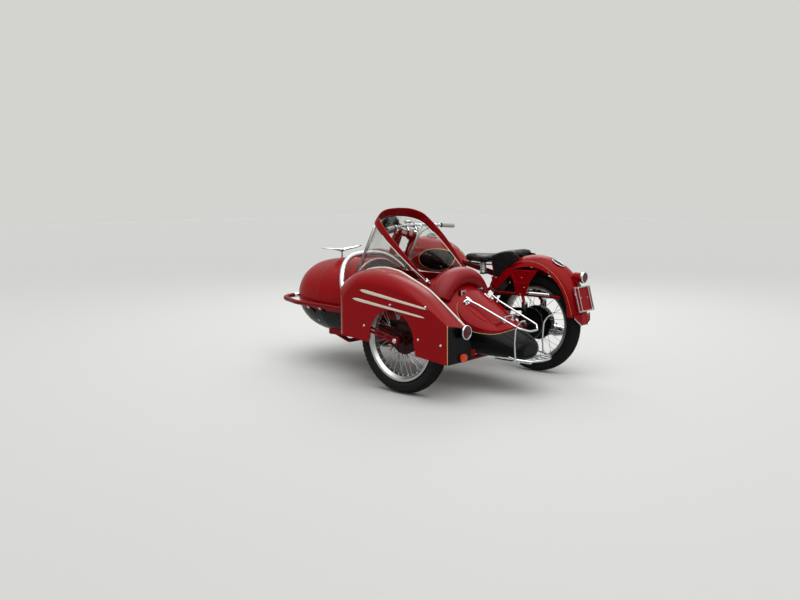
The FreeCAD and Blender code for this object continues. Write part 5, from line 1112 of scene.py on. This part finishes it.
# the band's section: how far out of the arch's edge, and the share of its width
BAND_SECTION = ((0, 0.0), (0.9, 0.25), (1.2, 0.5), (0.9, 0.75), (0, 1.0), (-3.6, 1.0), (-2.7, 0.75), (-2.4, 0.5),
                (-2.7, 0.25), (-3.6, 0.0))
SILL_X, SILL_R, SILL_STEPS = 915, 280.5, 64
PILLAR_FOOT, PILLAR_TOP = (SILL_X, 248.0, HULL_Z + sqrt(278.5 ** 2 - 248.0 ** 2)), (236.8, 544)
paint(clear("clear_acrylic_sheet", None, "#F1F3F0", 0.02, 1.0), "windscreen_glass")
# Extruded alloy section, satin anodised: pale grey with fine lines along it.
satin_alloy = surface("satin_anodised_alloy", "alloy", "#B4B5B4", 0.34, shade=0.08, patch=30.0, wear=0.05,
                      Metallic=0.75)
# Moulded white piping, yellowed to cream by age.
cream_piping = surface("aged_white_piping", "grey_rubber", "#EAE4D8", 0.45, shade=0.08, patch=20.0)


def arch_at(half, up, back=0.0):
    """A place on the arch's leaning plane, or behind it."""
    x, y, z = SCREEN_FOOT
    return Vector((x + up * sin(SCREEN_LEAN) - back * cos(SCREEN_LEAN), y + half,
                   z + up * cos(SCREEN_LEAN) + back * sin(SCREEN_LEAN)))


def band_width(up):
    """The arch band's width at a height up its plane."""
    for (up0, wide0), (up1, wide1) in zip(BAND_WIDTHS, BAND_WIDTHS[1:]):
        if up0 <= up <= up1:
            return wide0 + (wide1 - wide0) * (up - up0) / (up1 - up0)


near_half = smooth_line(ARCH, 10)
around = near_half + [Vector((-p.x, p.y)) for p in reversed(near_half[:-1])]
sections = []
for spot, run in zip(around, headings(around)):
    out = Vector((run.y, -run.x))
    out = out if out.dot(spot - ARCH_MIDDLE) > 0 else -out
    sections.append([arch_at(*(spot + out * off), band_width(spot.y) * share) for off, share in BAND_SECTION])
piece("arch_band", red_enamel, (sections, False), replaced=("windscreen_frame",))
knobs = []
for side, where in HANDS:
    piece("arch_piping_" + where, cream_piping,
          sweep([arch_at(side * (p.x - 1), p.y, 1.0) for p in smooth_line(ARCH[:4])], 3.6))
    foot = Vector((PILLAR_FOOT[0], HULL_Y + side * PILLAR_FOOT[1], PILLAR_FOOT[2]))
    top = arch_at(side * PILLAR_TOP[0], PILLAR_TOP[1])
    run = (top - foot).normalized()
    flat = Vector((0, side * 8.2, 0))
    piece("pillar_sheath_" + where, satin_alloy, rod(foot + run * 6, top - run * 12, 8.5, 14))
    piece("pillar_seal_" + where, cable_rubber, rod(foot + run * 10 + flat, top - run * 20 + flat, 2.2))
    spot = arch_at(side * 211, -8, 8)
    knobs += [spindle([spot + Vector((0, side * out, 0)) for out in (0, 16, 22)], (12, 9, 4), 20),
              rod(arch_at(side * 209, -30, 8), arch_at(side * 209, 14, 8), 7, 14)]
lift = atan2(PILLAR_FOOT[2] - HULL_Z, PILLAR_FOOT[1]) + radians(0.6)
piece("sill_trim", satin_alloy, sweep(
    [Vector((SILL_X, HULL_Y + SILL_R * cos(a), HULL_Z + SILL_R * sin(a)))
     for a in (lift + (pi - 2 * lift) * i / SILL_STEPS for i in range(SILL_STEPS + 1))], 6.2, 12))
piece("arch_hinge_knobs", chrome, knobs)


# ---------------------------------------------------------------- sidecar chassis, hoop and ornament
# A brazed tube chassis in red enamel with a bumper loop round the hull, a chromed grab hoop, plated
# shackles and clamp nuts, and a plain winged ornament on the nose.
RIBS_A_WING = 5
RIB_FOOT, RIB_SLOPE = 807.2, 0.1228
WING_STEPS, WING_SIDES = 14, 20
paint(cable_rubber, "hull_mounts")
piece("chassis_clamps_and_nuts", chrome, [
    [[rod((x, 901, 421), (x, 908, 416), 12, 6), rod((x, 802, 318), (x, 808, 314), 11, 6)] for x in (1190, 1310)],
    [stub((818, y, z), (0, 0, 7), 23.5, 28) for y in (905, 295) for z in (426, 470)],
    stub((818, 929, 450), (0, 9, 0), 7.5, 6), stub((670, 922, 272), (0, 8, 0), 12, 6),
    [[studs([(257, wheel_y, 332)], (0, side, 0), 10.0, 8.0), studs([(650, fork_y, 420)], (0, side, 0), 9.0, 6.0)]
     for side, wheel_y, fork_y in ((1, 1148, 1148), (-1, 992, 993))]], False)
# bands where the bumper loop's tubes are lugged, and the plated sleeve across its front
piece("loop_lugs", frame_enamel, [stub((860, 905, z), (20, 0, 0), 18.5, 24) for z in (272, 432)], False)
piece("bumper_sleeve", chrome, rod((1720, 515, 450), (1720, 690, 450), 17.2, 28))
feathers = [stub((1280, HULL_Y, 741), (0, 0, 6), 24, 28)]
for side in SIDES:
    for row in range(RIBS_A_WING):
        root, tip = 26 + row * 2, 182 - row * 26
        feathers.append(rod((1266 + row * 12, HULL_Y + side * root, RIB_FOOT + root * RIB_SLOPE),
                            (1272 + row * 7, HULL_Y + side * tip, RIB_FOOT + tip * RIB_SLOPE), 2.6, 8, 1.2))
piece("ornament_feather_ribs", chrome, feathers)
# the wings' rounded upper shells, thick at the root and thin at the tip
wings = []
for side in SIDES:
    rings = []
    for share in (step / WING_STEPS for step in range(WING_STEPS + 1)):
        deep, thick = 31 * (1 - share) ** 0.7 + 3, 12 * (1 - share) + 2.5
        middle = Vector((1284 - 6 * share, HULL_Y + side * (4 + 190 * share), 806 + 23 * share))
        rings.append([middle + Vector((deep * cos(a), 0, thick * sin(a) * (1.0 if sin(a) > 0 else 0.35)))
                      for a in turns(WING_SIDES)])
    wings.append((rings, False))
piece("ornament_wing_shells", chrome, wings)


# ---------------------------------------------------------------- sidecar mudguard
# A pressed guard in red enamel over a black back panel, with two fluted alloy flashes, white piping in
# the hull-side seam, a gold line on its rear edge and plated bolts.
GUARD_FACE_Y = 1160
FLASHES = (((533, 621), (-8, 549), 11.0, 6.0), ((600, 564), (8, 497), 10.0, 5.5))   # ends as (x, z), half widths
FLASH_STEPS, FLASH_END = 32, 4
# the flutes: share of the half width, and how high
FLASH_SECTION = ((-1, -1.0), (-1, 1.2), (-0.8, 3.0), (-0.55, 3.6), (-0.4, 2.6), (-0.2, 3.8), (0, 4.2), (0.2, 3.8),
                 (0.4, 2.6), (0.55, 3.6), (0.8, 3.0), (1, 1.2), (1, -1.0))
GUARD_BOLTS = [(280, 549), (1, 560), (502, 402), (58, 363), (-113, 348)]
PIPING_RUN = [(795, 637), (740, 676), (700, 704), (645, 727), (590, 740), (530, 746), (470, 747), (420, 740),
              (370, 731), (310, 708), (250, 683), (190, 658), (130, 631), (50, 578), (-40, 513), (-100, 468),
              (-158, 428)]
PIPING_Y = 969
BACK_SHEET = [(1155, 240), (1155, 462), (1135, 459), (1080, 449), (1030, 438), (974, 422), (974, 240)]
LIP_CENTRE, LIP_R, LIP_SPAN, LIP_STEPS = (273.6, 335.4), 183.7, (10.9, 178.6), 36
flashes = []
for start, end, wide, narrow in FLASHES:
    start, end = Vector(start), Vector(end)
    run = (end - start).normalized()
    rows = []
    for step in range(FLASH_STEPS + 1):
        to_end = min(step, FLASH_STEPS - step) / FLASH_END
        half = wide + (narrow - wide) * step / FLASH_STEPS
        half *= sqrt(1 - (1 - to_end) ** 2) * 0.9 + 0.1 if to_end < 1 else 1
        spot = start.lerp(end, step / FLASH_STEPS)
        rows.append([Vector((spot.x + run.y * half * across, GUARD_FACE_Y + rise, spot.y - run.x * half * across))
                     for across, rise in FLASH_SECTION])
    flashes.append((rows, False))
# Anodised alloy strip, gone matt and warm in the weather.
piece("guard_flashes", surface("anodised_alloy_flash", "alloy", "#D6CBBD", 0.36, shade=0.08, patch=30.0, wear=0.05,
                               Metallic=0.35), flashes)
piece("guard_dome_bolts", chrome, [
    [stub((x, GUARD_FACE_Y - 1, z), (0, 2.5, 0), 7.5, 20), stub((x, GUARD_FACE_Y + 1.5, z), (0, 4.5, 0), 6.2, 20, 3.5)]
    for x, z in GUARD_BOLTS])
piece("guard_seam_piping", cream_piping,
      sweep([Vector((p.x, PIPING_Y, p.y)) for p in smooth_line(PIPING_RUN, 5)], 6.2, 10))
piece("guard_rear_lining", gold_line, sweep([Vector((-161.5, 1157.5, 466 - 228 * i / 12)) for i in range(13)], 2.6))
# the black sheet that closes the guard's rear end, turned in at its edge
piece("guard_back_sheet", black_enamel, sheet([(-166, y, z) for y, z in BACK_SHEET], 3.6), False, bevel=1.0)
# the rolled lip round the wheel's cut-out
lip = [(LIP_CENTRE[0] + LIP_R * cos(a), LIP_CENTRE[1] + LIP_R * sin(a))
       for a in (radians(LIP_SPAN[0] + (LIP_SPAN[1] - LIP_SPAN[0]) * i / LIP_STEPS) for i in range(LIP_STEPS + 1))]
lip = [(458, 330), (455, 352)] + lip + [(88, 318), (84, 290)]
piece("guard_arch_lip", red_enamel, sweep([Vector((x, GUARD_FACE_Y - 1.5, z)) for x, z in lip], 3.0))


# ---------------------------------------------------------------- sidecar lamps
# A torpedo tail lamp in black enamel with a chromed ring and a red moulded lens, and a round amber
# indicator below it, both screwed to the black back panel.
TORPEDO, BLINKER = (1034, 419), (1030, 266)
# Moulded amber plastic: bright orange through its whole thickness.
amber_lens = surface("amber_moulded_lens", "amber_lens", "#D9491A", 0.2, shade=0.1, patch=10.0, Specular_IOR_Level=0.4)
paint(amber_lens, "sidecar_indicator")
# name, finish, turned section, x, place across and up, steps, whether it is a ring, and what it replaces
for name, finish, profile, x, (y, z), steps, ring, replaced in (
        ("torpedo_body", black_enamel, [(0.1, 2), (20, 2), (27, -4), (34, -16), (38.5, -28), (40.6, -38), (40.6, -44),
                                        (34.5, -44), (0.1, -36)], -163, TORPEDO, 48, False, ("sidecar_lamp",)),
        ("torpedo_ring", chrome, [(35, 0), (36, -2.6), (39, -3.8), (42.4, -2.2), (43, 2), (42.6, 8), (41, 9.5),
                                  (40.8, 0)], -206, TORPEDO, 48, True, ()),
        ("torpedo_lens_rings", red_lens, [(0.1, 4), (0.1, -6), (12, -5.4), (14, -4.0), (22, -3.4), (24, -1.8),
                                          (30, -0.6), (34.6, 4)], -208, TORPEDO, 48, False, ("sidecar_lamp_lens",)),
        ("indicator_lens_rings", amber_lens, [(0.1, 6), (0.1, -1.6), (4, -1.6), (5, 0), (9, 0), (10, -1.4),
                                              (14, -1.4), (15, 0), (19, 0), (20, -1.0), (23, 0.5), (23.4, 6)],
         -188, BLINKER, 40, False, ()),
        ("indicator_base_ring", black_enamel, [(24.2, 0), (27, -2), (28.5, 0), (28.5, 8), (24.2, 8)],
         -171, BLINKER, 40, True, ())):
    piece(name, finish, lathe(profile, (x, y, z), "X", steps, ring), replaced=replaced)


# ---------------------------------------------------------------- rear rack
# A chromed tube rack behind the hull's tail with flat bars beneath it, a pair of hooked stays for a
# luggage strap, and plated nuts where it is bolted through the hull.
piece("rack_nuts_and_ferrules", chrome, [
    [[stub((x, HULL_Y + side * 50, 198), (0, 0, -8), 8.5, 6) for x in (-140, -300)],
     stub((-345, HULL_Y + side * 150, 228), (0, 0, 16), 9.5, 20),
     rod((-409, HULL_Y + side * 150, 470.5), (-401, HULL_Y + side * 150, 468.8), 6.8, 16)] for side in SIDES], False)

size = {"cad": cad_box, "visual": [list(corner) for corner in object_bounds()]}
